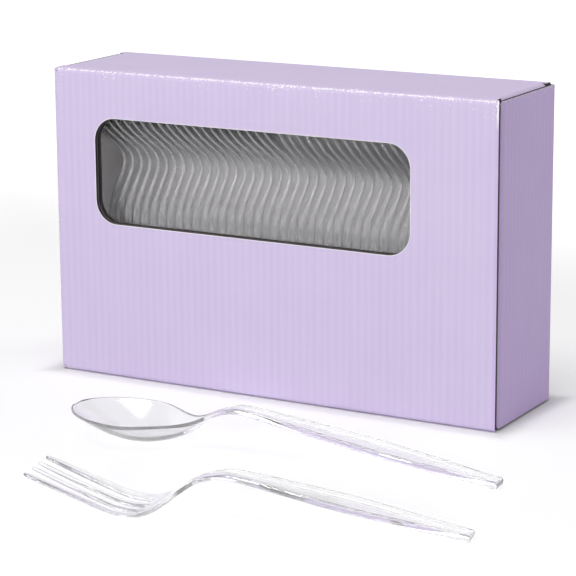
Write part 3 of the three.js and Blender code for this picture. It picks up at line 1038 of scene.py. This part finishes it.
    def crease(self, end: End) -> bpy.types.Object:
        """Builds the bent strip that joins an end flap to its panel.

        Args:
            end: End of the carton.

        Returns:
            The piece.
        """
        rows = []
        for turn in steps(2 * self.fold_steps):
            angle = (1.0 - turn) * math.pi / 2.0
            x = self.crease_x + self.fold_radius * math.cos(angle)
            y = self.crease_y + self.fold_radius * math.sin(angle)
            flute = self.crease_x + self.fold_radius * turn * math.pi / 2.0
            low = lerp(self.fold_low, self.flap_edge_gap, turn**0.4)
            rows.append(((end.value * x, end.value * y), low, end.value * flute))
        skin = Skin()
        for (near, near_low, near_flute), (far, far_low, far_flute) in zip(rows, rows[1:]):
            skin.face(
                ((*near, near_low), near_flute),
                ((*near, self.height - near_low), near_flute),
                ((*far, self.height - far_low), far_flute),
                ((*far, far_low), far_flute),
            )
        body = Body.RIGHT_FLAP if end is End.RIGHT else Body.LEFT_FLAP
        name = f"{body.value}_crease"
        mesh = skin.solid(name, self.board, Vector((0.0, float(end.value), 0.0)))
        for polygon in mesh.polygons:
            if abs(polygon.normal.z) > 0.5:
                polygon.material_index = 0
        self.finishes.dress(mesh)
        piece = new_object(name, mesh)
        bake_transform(piece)
        return piece


@dataclass(frozen=True)
class Knot:
    """Corner of a side profile, in millimetres: its place and the radius that rounds it."""

    along: float
    up: float
    bend: float = 0.0


@dataclass(frozen=True)
class Run:
    """Straight or round stretch of a side profile, in millimetres."""

    start: Point
    heading: float
    length: float
    curvature: float

    def at(self, distance: float) -> tuple[Point, Point]:
        """Gives the place and the direction at a distance along the stretch."""
        turned = self.heading + self.curvature * distance
        direction = (math.cos(turned), math.sin(turned))
        if self.curvature == 0.0:
            x, y = distance * direction[0], distance * direction[1]
        else:
            x = (math.sin(turned) - math.sin(self.heading)) / self.curvature
            y = (math.cos(self.heading) - math.cos(turned)) / self.curvature
        return (self.start[0] + x, self.start[1] + y), direction


class SideProfile:
    """Side view of a piece of cutlery: straight runs between knots, with an arc at each inner knot."""

    def __init__(self, knots: Sequence[Knot]) -> None:
        """Works out the runs between the knots."""
        self.runs: list[Run] = []
        headings = [math.atan2(b.up - a.up, b.along - a.along) for a, b in zip(knots, knots[1:])]
        place = (knots[0].along, knots[0].up)
        for i, heading in enumerate(headings):
            corner = knots[i + 1]
            turn = headings[i + 1] - heading if i + 1 < len(headings) else 0.0
            set_back = corner.bend * math.tan(abs(turn) / 2.0)
            length = math.dist(place, (corner.along, corner.up)) - set_back
            self._append(Run(place, heading, length, 0.0))
            if turn != 0.0:
                curve = math.copysign(1.0 / corner.bend, turn)
                bent = Run(self._end, heading, corner.bend * abs(turn), curve)
                self._append(bent)
            place = self._end

    def _append(self, run: Run) -> None:
        """Adds a run and keeps the place where it ends."""
        self.runs.append(run)
        self._end = run.at(run.length)[0]

    @property
    def length(self) -> float:
        """Length along the profile."""
        return sum(run.length for run in self.runs)

    def at(self, distance: float) -> tuple[Point, Point]:
        """Gives the place and the direction at a distance from the end of the handle."""
        left = distance
        for run in self.runs[:-1]:
            if left <= run.length:
                return run.at(left)
            left -= run.length
        return self.runs[-1].at(left)


@dataclass(frozen=True)
class Rim:
    """Raised edge of a handle, in millimetres, which fades over its ramp to the head."""

    width: float
    draft: float
    height: float
    ramp: float
    end_wall: bool


@dataclass(frozen=True)
class Handle:
    """Half widths of a handle, in millimetres, and where it is widest."""

    end_half: float
    widest_half: float
    widest_at: float
    neck_half: float


@dataclass(frozen=True)
class Head:
    """Head of a spoon or fork, in millimetres. A tip half of 0 is a round tip."""

    length: float
    half: float
    tip_half: float
    widest_at: float
    depth: float


@dataclass(frozen=True)
class Slots:
    """Gaps between the tines of a fork, in millimetres."""

    length: float
    root_width: float
    tip_width: float
    point: float = 6.0
    point_share: float = 0.5


@dataclass(frozen=True)
class Pattern:
    """Moulded spoon or fork, described in millimetres from the end of its handle to its tip."""

    profile: tuple[Knot, ...]
    wall: float
    tip_wall: float
    rim: Rim
    handle: Handle
    head: Head
    slots: Slots | None = None
    handle_steps: int = 8
    ramp_steps: int = 8
    head_steps: int = 14
    smoothing: int = 2

    HANDLE_SHARES = (0.5, 0.3, 0.1)
    HEAD_SHARES = (1.0, 0.93, 0.8, 0.58, 0.34, 0.11)
    RAISED_COLUMNS = 2
    SLOT_COLUMNS = (2, 5, 8)

    def half_width(self, length: float, distance: float) -> float:
        """Gives half the width at a distance from the end of the handle.

        Args:
            length: Length along the profile.
            distance: Distance along the profile.

        Returns:
            Half the width, in millimetres.
        """
        handle, head = self.handle, self.head
        from_tip = length - distance
        if from_tip < head.widest_at:
            share = 1.0 - from_tip / head.widest_at
            if head.tip_half > 0.0:
                return lerp(head.half, head.tip_half, share)
            return head.half * math.sqrt(max(0.0, 1.0 - share * share))
        if from_tip < head.length:
            share = (from_tip - head.widest_at) / (head.length - head.widest_at)
            return eased(head.half, handle.neck_half, share)
        if distance > handle.widest_at:
            neck = length - head.length
            share = (distance - handle.widest_at) / (neck - handle.widest_at)
            return eased(handle.widest_half, handle.neck_half, share)
        return eased(handle.end_half, handle.widest_half, distance / handle.widest_at)

    def distances(self, length: float) -> list[float]:
        """Gives where the piece is cut into sections, from the handle's end to the tip."""
        rim, head = self.rim, self.head
        ramp_end = length - head.length
        ramp_start = ramp_end - rim.ramp
        found = [0.0, rim.width, rim.width + rim.draft] if rim.end_wall else [0.0]
        floor_start = found[-1]
        found += [lerp(floor_start, ramp_start, share) for share in steps(self.handle_steps)[1:]]
        found += [lerp(ramp_start, ramp_end, share) for share in steps(self.ramp_steps)[1:]]
        if self.slots is None:
            round_end = 0.95 * math.pi / 2.0
            found += [ramp_end + head.length * math.sin(round_end * s) for s in steps(self.head_steps)[1:]]
            return found
        root = length - self.slots.length
        point = length - self.slots.point
        found += [lerp(ramp_end, root, share) for share in steps(self.head_steps // 2)[1:]]
        found += [lerp(root, point, share) for share in steps(self.head_steps // 2)[1:]]
        found += [lerp(point, length, share) for share in steps(2)[1:]]
        return found

    def columns(self, length: float, distance: float, fade: float) -> list[float]:
        """Gives the places across one section.

        Args:
            length: Length along the profile.
            distance: Distance along the profile.
            fade: 1 in the handle, 0 in the head.

        Returns:
            Twelve distances from the middle, from one edge to the other, in millimetres.
        """
        half = self.half_width(length, distance)
        rim = self.rim
        insets = (0.0, rim.width, rim.width + rim.draft)
        in_handle = [half - min(inset, 0.8 * half) for inset in insets]
        in_handle += [half * share for share in self.HANDLE_SHARES]
        in_head = [half * share for share in self.HEAD_SHARES]
        if self.slots is not None:
            in_head = self._tine_columns(length, distance, half)
        one_half = [lerp(a, b, fade) for a, b in zip(in_head, in_handle)]
        return one_half + [-across for across in reversed(one_half)]

    def _tine_columns(self, length: float, distance: float, half: float) -> list[float]:
        """Gives the edges and middles of the tines on one half of a fork's head."""
        slots = self.slots
        from_root = distance - (length - slots.length)
        gap = lerp(slots.root_width, slots.tip_width, max(0.0, from_root / slots.length))
        pitch = half / 2.0
        edges = [half, 0.0, pitch + gap / 2.0, pitch - gap / 2.0, 0.0, gap / 2.0]
        from_point = distance - (length - slots.point)
        share = lerp(1.0, slots.point_share, max(0.0, from_point / slots.point) ** 2)
        for outer, middle, inner in ((0, 1, 2), (3, 4, 5)):
            centre = (edges[outer] + edges[inner]) / 2.0
            edges[middle] = centre
            edges[outer] = lerp(centre, edges[outer], share)
            edges[inner] = lerp(centre, edges[inner], share)
        return edges

    def mesh(self, name: str) -> bpy.types.Mesh:
        """Builds the piece with its handle's end at the origin and its tip towards +X, hollow side up.

        Args:
            name: Name of the mesh.

        Returns:
            A closed, smooth mesh in metres.
        """
        profile = SideProfile(self.profile)
        length = profile.length
        ramp_end = length - self.head.length
        tops, bottoms, distances = [], [], self.distances(length)
        for distance in distances:
            origin, direction = profile.at(distance)
            fade = 1.0 - smoothstep((distance - ramp_end + self.rim.ramp) / self.rim.ramp)
            in_head = max(0.0, (distance - ramp_end) / self.head.length)
            dish = self.head.depth * math.sin(math.pi * min(1.0, in_head))
            wall = lerp(self.wall, self.tip_wall, in_head)
            closed = self.rim.end_wall and distance < self.rim.width + self.rim.draft / 2.0
            half = self.half_width(length, distance)
            top, bottom = [], []
            across_all = self.columns(length, distance, fade)
            for i, across in enumerate(across_all):
                sag = dish * (1.0 - min(1.0, abs(across) / max(half, 0.01)) ** 2)
                raised = closed or min(i, len(across_all) - 1 - i) < self.RAISED_COLUMNS
                lift = (self.rim.height * fade if raised else 0.0) - sag
                for row, up in ((top, lift), (bottom, -wall - sag)):
                    x = origin[0] - direction[1] * up
                    z = origin[1] + direction[0] * up
                    row.append(Vector((x, across, z)) * MM)
            tops.append(top)
            bottoms.append(bottom)
        root = length - self.slots.length if self.slots else length
        missing = {
            (i, j)
            for i, distance in enumerate(distances[:-1])
            for j in (self.SLOT_COLUMNS if self.slots else ())
            if distance > root - 0.01
        }
        cage = cells_to_mesh(name, tops, bottoms, missing)
        return smoothed(cage, self.smoothing)


def cells_to_mesh(
    name: str,
    tops: list[list[Vector]],
    bottoms: list[list[Vector]],
    missing: set[tuple[int, int]],
) -> bpy.types.Mesh:
    """Closes two matching grids of points into a solid, with holes where cells are missing.

    Args:
        name: Name of the mesh.
        tops: Points of the upper side, section after section.
        bottoms: Points of the lower side.
        missing: Cells that are left out, by section and column.

    Returns:
        A closed mesh of four-sided faces.
    """
    rows, columns = len(tops), len(tops[0])
    points = [p for row in tops for p in row] + [p for row in bottoms for p in row]
    under = rows * columns
    faces = []
    rims: set[int] = set()

    def present(i: int, j: int) -> bool:
        """True if there is a cell at this section and column."""
        return 0 <= i < rows - 1 and 0 <= j < columns - 1 and (i, j) not in missing

    for i in range(rows - 1):
        for j in range(columns - 1):
            if not present(i, j):
                continue
            a, b = i * columns + j, i * columns + j + 1
            c, d = b + columns, a + columns
            faces.append((a, b, c, d))
            faces.append((under + d, under + c, under + b, under + a))
            sides = (((i - 1, j), a, b), ((i, j + 1), b, c), ((i + 1, j), c, d), ((i, j - 1), d, a))
            for beside, start, end in sides:
                if not present(*beside):
                    faces.append((end, start, under + start, under + end))
                    rims.update((start, end))
    mesh = bpy.data.meshes.new(name)
    mesh.from_pydata(points, [], faces)
    stored = mesh.attributes.new("rim", "FLOAT", "POINT")
    stored.data.foreach_set("value", [1.0 if i in rims else 0.0 for i in range(len(points))])
    work = bmesh.new()
    work.from_mesh(mesh)
    loose = [v for v in work.verts if not v.link_faces]
    bmesh.ops.delete(work, geom=loose, context="VERTS")
    bmesh.ops.recalc_face_normals(work, faces=work.faces)
    work.to_mesh(mesh)
    work.free()
    return mesh


def smoothed(cage: bpy.types.Mesh, levels: int) -> bpy.types.Mesh:
    """Rounds a cage with a subdivision surface.

    Args:
        cage: Mesh of four-sided faces.
        levels: How often each face is divided.

    Returns:
        The smooth mesh.
    """
    piece = new_object(cage.name, cage)
    rounding = piece.modifiers.new("rounding", "SUBSURF")
    rounding.levels = levels
    rounding.render_levels = levels
    mesh = settle_mesh(piece)
    bpy.data.objects.remove(piece)
    shade(mesh, math.pi)
    return mesh


ROW_HEIGHT = 127.5
ROW_RIM = 2.69

ROW_SPOON = Pattern(
    profile=(
        Knot(0.0, -9.6),
        Knot(ROW_HEIGHT - 56.0, -9.6, 22.0),
        Knot(ROW_HEIGHT - 34.0, 1.4, 12.0),
        Knot(ROW_HEIGHT, -20.5),
    ),
    wall=1.3,
    tip_wall=1.1,
    rim=Rim(width=1.4, draft=0.5, height=ROW_RIM, ramp=34.0, end_wall=False),
    handle=Handle(end_half=4.4, widest_half=5.4, widest_at=40.0, neck_half=3.8),
    head=Head(length=42.0, half=17.0, tip_half=0.0, widest_at=19.0, depth=5.5),
    handle_steps=4,
    ramp_steps=7,
    head_steps=10,
    smoothing=1,
)

ROW_FORK = Pattern(
    profile=ROW_SPOON.profile,
    wall=1.3,
    tip_wall=1.0,
    rim=ROW_SPOON.rim,
    handle=ROW_SPOON.handle,
    head=Head(length=42.0, half=13.5, tip_half=12.4, widest_at=25.0, depth=0.8),
    slots=Slots(length=24.0, root_width=2.0, tip_width=4.4),
    handle_steps=4,
    ramp_steps=7,
    head_steps=8,
    smoothing=1,
)

LOOSE_SPOON = Pattern(
    profile=(Knot(0.0, 2.0), Knot(111.0, 20.0, 24.0), Knot(129.0, 12.0, 16.0), Knot(181.0, 14.0)),
    wall=1.5,
    tip_wall=1.2,
    rim=Rim(width=1.6, draft=0.5, height=1.5, ramp=26.0, end_wall=True),
    handle=Handle(end_half=4.0, widest_half=7.0, widest_at=44.0, neck_half=3.6),
    head=Head(length=60.0, half=19.5, tip_half=0.0, widest_at=27.0, depth=10.0),
)

LOOSE_FORK = Pattern(
    profile=(Knot(0.0, 2.0), Knot(96.0, 20.0, 26.0), Knot(121.0, 2.0, 20.0), Knot(163.0, 17.0)),
    wall=1.5,
    tip_wall=1.4,
    rim=LOOSE_SPOON.rim,
    handle=LOOSE_SPOON.handle,
    head=Head(length=66.0, half=13.0, tip_half=12.4, widest_at=48.0, depth=1.2),
    slots=Slots(length=44.0, root_width=2.4, tip_width=5.0),
)


@dataclass
class NestedRow:
    """Row of upright spoons, then forks, nested in each other inside the carton."""

    finish: bpy.types.Material
    sway: float = math.radians(0.25)
    seed: int = 4

    UPRIGHT = Matrix(((0.0, 0.0, 1.0), (0.0, -1.0, 0.0), (1.0, 0.0, 0.0))).to_4x4()

    def build(self, name: str, prefix: str, pattern: Pattern) -> bpy.types.Object:
        """Builds the nest of one pattern where its CAD nodes stand.

        Args:
            name: Name of the piece.
            prefix: Start of the names of the CAD nodes.
            pattern: Spoon or fork.

        Returns:
            The piece, which stands for all those nodes.
        """
        nodes = sorted(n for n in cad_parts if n.startswith(prefix))
        low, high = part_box(nodes[0])
        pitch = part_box(nodes[1])[0].x - low.x
        single = pattern.mesh(f"{name}_single")
        single.transform(self.UPRIGHT)
        lows = [min(v.co[axis] for v in single.vertices) for axis in range(3)]
        middle = (low.y + high.y) / 2.0
        single.transform(Matrix.Translation((low.x - lows[0], middle, low.z - lows[2])))
        single.materials.append(self.finish)
        source = new_object(f"{name}_single", single)
        piece = new_object(name, bpy.data.meshes.new(name))
        nest = piece.modifiers.new("nest", "NODES")
        nest.node_group = self._nest_tree(name)
        values = {
            "Single": source,
            "Count": len(nodes),
            "Pitch": pitch,
            "Sway": self.sway,
            "Seed": self.seed,
            "Foot": (low.x, middle, low.z),
            "Finish": self.finish,
        }
        for item in nest.node_group.interface.items_tree:
            if item.name in values:
                nest[item.identifier] = values[item.name]
        mesh = settle_mesh(piece)
        bpy.data.objects.remove(source)
        shade(mesh, math.pi)
        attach(piece, Body.CARTON.value)
        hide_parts(*nodes)
        return piece

    @staticmethod
    def _nest_tree(name: str) -> bpy.types.NodeTree:
        """Builds the tree that repeats one piece along the carton, each swayed a little on its foot."""
        tree = group_tree(
            "GeometryNodeTree",
            f"{name}_nest",
            {
                "Geometry": "NodeSocketGeometry",
                "Single": "NodeSocketObject",
                "Count": "NodeSocketInt",
                "Pitch": "NodeSocketFloat",
                "Sway": "NodeSocketFloat",
                "Seed": "NodeSocketInt",
                "Foot": "NodeSocketVector",
                "Finish": "NodeSocketMaterial",
            },
            {"Geometry": "NodeSocketGeometry"},
        )
        entry, result = ends_of(tree)
        graph = Graph(tree)
        given = entry.outputs
        offset = graph.add("ShaderNodeCombineXYZ", {"X": given["Pitch"]})
        line = graph.add(
            "GeometryNodeMeshLine",
            {"Count": given["Count"], "Offset": offset.outputs[0], "Start Location": given["Foot"]},
        )
        least = graph.math("MULTIPLY", given["Sway"], -1.0)
        turn = graph.add(
            "FunctionNodeRandomValue",
            {"Seed": given["Seed"]},
            data_type="FLOAT",
        )
        turn_inputs = {s.identifier: s for s in turn.inputs}
        graph.feed(turn_inputs["Min_001"], least)
        graph.feed(turn_inputs["Max_001"], given["Sway"])
        angle = next(s for s in turn.outputs if s.identifier == "Value_001")
        tilt = graph.add("ShaderNodeCombineXYZ", {"Z": angle})
        back = graph.add("ShaderNodeVectorMath", {0: given["Foot"], "Scale": -1.0}, operation="SCALE")
        single = graph.add("GeometryNodeObjectInfo", {"Object": given["Single"]})
        footed = graph.add(
            "GeometryNodeTransform",
            {"Geometry": single.outputs["Geometry"], "Translation": back.outputs[0]},
        )
        placed = graph.add(
            "GeometryNodeInstanceOnPoints",
            {"Points": line.outputs[0], "Instance": footed.outputs[0], "Rotation": tilt.outputs[0]},
        )
        real = graph.add("GeometryNodeRealizeInstances", {"Geometry": placed.outputs[0]})
        dressed = graph.add(
            "GeometryNodeSetMaterial",
            {"Geometry": real.outputs[0], "Material": given["Finish"]},
        )
        graph.feed(result.inputs["Geometry"], dressed.outputs[0])
        return tree


@dataclass
class LoosePiece:
    """Spoon or fork that lies on the ground, placed by the end of its handle."""

    name: str
    node: str
    pattern: Pattern
    finish: bpy.types.Material
    x: float
    y: float
    turn: float

    def build(self) -> bpy.types.Object:
        """Builds the piece and lays it down.

        Returns:
            The piece, which stands for its CAD node.
        """
        mesh = self.pattern.mesh(self.name)
        self._lay(mesh)
        place = Matrix.Translation((self.x, self.y, 0.0)) @ Matrix.Rotation(self.turn, 4, "Z")
        mesh.transform(place)
        mesh.materials.append(self.finish)
        piece = new_object(self.name, mesh)
        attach(piece, Body.CARTON.value)
        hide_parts(self.node)
        return piece

    def _lay(self, mesh: bpy.types.Mesh) -> None:
        """Tips the piece until its handle and its head both rest on the ground."""
        middle = self.pattern.profile[1].along * MM
        for _ in range(4):
            handle = min((v.co for v in mesh.vertices if v.co.x <= middle), key=lambda co: co.z)
            head = min((v.co for v in mesh.vertices if v.co.x >= middle), key=lambda co: co.z)
            angle = math.atan2(head.z - handle.z, head.x - handle.x)
            mesh.transform(Matrix.Rotation(angle, 4, "Y"))
        lowest = min(v.co.z for v in mesh.vertices)
        mesh.transform(Matrix.Translation((0.0, 0.0, -lowest)))


@dataclass(frozen=True)
class Lamp:
    """Soft square lamp. Its level is the brightness it gives white paper that faces it."""

    name: str
    azimuth: float
    elevation: float
    distance: float
    size: float
    level: float

    def build(self, target: Vector) -> bpy.types.Object:
        """Hangs the lamp and turns it to its target."""
        lamp = bpy.data.lights.new(self.name, "AREA")
        lamp.size = self.size
        lamp.energy = self.level * math.pi**2 * self.distance**2
        hung = bpy.data.objects.new(self.name, lamp)
        bpy.context.scene.collection.objects.link(hung)
        away = direction_to(self.azimuth, self.elevation)
        hung.location = target + away * self.distance
        hung.rotation_mode = "QUATERNION"
        hung.rotation_quaternion = (-away).to_track_quat("-Z", "Y")
        return hung


def direction_to(azimuth: float, elevation: float) -> Vector:
    """Gives the direction towards a viewer or lamp, by its angles in degrees. Azimuth 0 is in front."""
    a, e = math.radians(azimuth), math.radians(elevation)
    return Vector((math.sin(a) * math.cos(e), -math.cos(a) * math.cos(e), math.sin(e)))


@dataclass
class Studio:
    """White floor, soft light and the camera."""

    target: Vector = field(default_factory=lambda: Vector((-0.00535, 0.0, 0.04155)))
    azimuth: float = 29.63
    elevation: float = 13.34
    roll: float = -0.42
    distance: float = 1.01656
    lens: float = 148.6
    floor_half: float = 8.0
    # Glow of the floor under, beside and far from the carton. The low glow under it is a painted contact
    # shadow.
    floor_glow: tuple[float, float, float] = (0.0, 0.26, 0.65)
    contact_shadow_reach: tuple[float, float] = (0.0, 0.011)
    distant_reach: tuple[float, float] = (0.15, 0.5)
    floor_colour: Colour = (0.82, 0.82, 0.82, 1.0)
    ceiling: Colour = (0.42, 0.42, 0.43, 1.0)
    footprint: tuple[float, float] = (0.105, 0.028)
    sky_level: float = 0.40
    lamps: tuple[Lamp, ...] = (
        Lamp("key_lamp", azimuth=-16.0, elevation=72.0, distance=1.7, size=1.0, level=0.42),
        Lamp("glint_lamp", azimuth=-4.0, elevation=14.0, distance=1.5, size=0.2, level=0.31),
        Lamp("rim_lamp", azimuth=125.0, elevation=30.0, distance=1.8, size=0.8, level=0.1),
    )

    def build(self) -> None:
        """Builds the whole stage."""
        self._camera()
        self._world()
        self._floor()
        for lamp in self.lamps:
            lamp.build(self.target)
        bpy.context.scene.view_settings.view_transform = "Standard"
        cycles = bpy.context.scene.cycles
        cycles.max_bounces = 28
        cycles.diffuse_bounces = 10
        cycles.glossy_bounces = 8
        cycles.transmission_bounces = 28
        cycles.transparent_max_bounces = 48

    def _camera(self) -> None:
        """Sets the camera at the photograph's viewing angle."""
        lens = bpy.data.cameras.new("camera")
        lens.lens = self.lens
        lens.sensor_width = 36.0
        lens.clip_end = 50.0
        camera = bpy.data.objects.new("camera", lens)
        bpy.context.scene.collection.objects.link(camera)
        away = direction_to(self.azimuth, self.elevation)
        camera.location = self.target + away * self.distance
        aim = (-away).to_track_quat("-Z", "Y")
        camera.rotation_mode = "QUATERNION"
        camera.rotation_quaternion = aim @ Quaternion((0.0, 0.0, 1.0), math.radians(self.roll))
        bpy.context.scene.camera = camera

    @staticmethod
    def _seen(graph: Graph) -> bpy.types.NodeSocket:
        """Gives 1 for rays that show the backdrop: straight, mirrored or through glass."""
        path = graph.add("ShaderNodeLightPath").outputs
        mirrored = graph.math("MAXIMUM", path["Is Glossy Ray"], path["Is Transmission Ray"])
        return graph.math("MAXIMUM", path["Is Camera Ray"], mirrored)

    def _world(self) -> None:
        """Makes the sky white to look at and softer as a light."""
        world = bpy.data.worlds.new("studio")
        bpy.context.scene.world = world
        world.use_nodes = True
        world.node_tree.nodes.clear()
        graph = Graph(world.node_tree)
        level = (self.sky_level, self.sky_level, self.sky_level, 1.0)
        direction = graph.add("ShaderNodeTexCoord").outputs["Generated"]
        up = graph.add("ShaderNodeSeparateXYZ", {0: direction}).outputs["Z"]
        backdrop = graph.mix(graph.ramp(up, 0.5, 0.72), (1.0, 1.0, 1.0, 1.0), self.ceiling)
        colour = graph.mix(self._seen(graph), level, backdrop)
        sky = graph.add("ShaderNodeBackground", {"Color": colour, "Strength": 1.0})
        output = graph.add("ShaderNodeOutputWorld")
        graph.feed(output.inputs["Surface"], sky.outputs[0])

    def _floor(self) -> None:
        """Lays the white floor, which keeps the shadows. Its glow fades out round the carton's footprint, a
        painted contact shadow.
        """
        half = self.floor_half
        corners = ((-half, -half, 0.0), (half, -half, 0.0), (half, half, 0.0), (-half, half, 0.0))
        mesh = bpy.data.meshes.new("floor")
        mesh.from_pydata(corners, [], [(0, 1, 2, 3)])
        material, graph, output = bare_material("white_floor")
        x, y, _ = graph.add("ShaderNodeSeparateXYZ", {0: graph.object_place()}).outputs
        beside = graph.math("SUBTRACT", graph.math("ABSOLUTE", x), self.footprint[0])
        before = graph.math("SUBTRACT", graph.math("ABSOLUTE", y), self.footprint[1])
        distance = graph.math("MAXIMUM", beside, before)
        under, beside_glow, far_glow = self.floor_glow
        # Painted contact shadow: the glow fades out near the carton's footprint.
        clear = graph.ramp(distance, *self.contact_shadow_reach)
        distant = graph.ramp(distance, *self.distant_reach)
        level = graph.math("MULTIPLY_ADD", clear, beside_glow - under, under)
        level = graph.math("MULTIPLY_ADD", distant, far_glow - beside_glow, level)
        glow = graph.math("MULTIPLY", self._seen(graph), level)
        surface = graph.add(
            "ShaderNodeBsdfPrincipled",
            {
                "Base Color": self.floor_colour,
                "Roughness": 0.9,
                "Specular IOR Level": 0.0,
                "Emission Color": (1.0, 1.0, 1.0, 1.0),
                "Emission Strength": glow,
            },
        )
        graph.feed(output.inputs["Surface"], surface.outputs[0])
        mesh.materials.append(material)
        floor = new_object("floor", mesh)
        floor.location.z = -0.0001


def main() -> None:
    """Builds the pack and its studio."""
    logging.basicConfig(level=logging.INFO, format="%(name)s: %(message)s")
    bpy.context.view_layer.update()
    Studio().build()

    low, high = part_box("carton_sleeve")
    size = high - low
    effects = BoardEffects.build()
    flute_pitch = Carton.flute_pitch
    half = size / 2.0
    printed = PrintedLiner(tuple((low + high) / 2.0), tuple(half), flute_pitch)
    finishes = BoardFinishes(
        printed.material(effects),
        PlainLiner(flute_pitch).material(effects),
        CutEdge(flute_pitch).material(effects),
    )
    carton = Carton(finishes, width=size.x, depth=size.y, height=size.z)
    pieces = [carton.sleeve()]
    for end in End:
        pieces += [carton.end_flap(end), carton.crease(end)]

    # The nest's plastic is a lit copy of the loose pieces' plastic. It is less clear, so more of it is pale
    # colour, which stands in for light inside the carton. It has painted highlights on its rims, and lamp
    # light passes it almost whole.
    lit_nest_plastic = ClearPlastic(
        "row_plastic",
        tint=(0.89, 0.887, 0.90, 1.0),
        lamp_tint=(0.985, 0.985, 0.987, 1.0),
        gloss=0.02,
        clearness=0.76,
        rim=FrostedHighlightRim(),
    )
    row = NestedRow(lit_nest_plastic.material())
    pieces.append(row.build("nested_spoons", "boxed_spoon", ROW_SPOON))
    pieces.append(row.build("nested_forks", "boxed_fork", ROW_FORK))

    clear = ClearPlastic(
        "loose_plastic",
        tint=(0.90, 0.902, 0.908, 1.0),
        lamp_tint=(0.72, 0.72, 0.73, 1.0),
        gloss=0.03,
        clearness=0.94,
    ).material()
    spoon_turn, fork_turn = math.radians(184.4), math.radians(192.9)
    loose = (
        LoosePiece("clear_spoon", "loose_spoon", LOOSE_SPOON, clear, 136.0 * MM, -90.0 * MM, spoon_turn),
        LoosePiece("clear_fork", "loose_fork", LOOSE_FORK, clear, 152.0 * MM, -148.0 * MM, fork_turn),
    )
    pieces += [piece.build() for piece in loose]

    for piece in pieces:
        LOG.info("%s: %d faces", piece.name, len(piece.data.polygons))


if __name__ == "__main__":
    main()
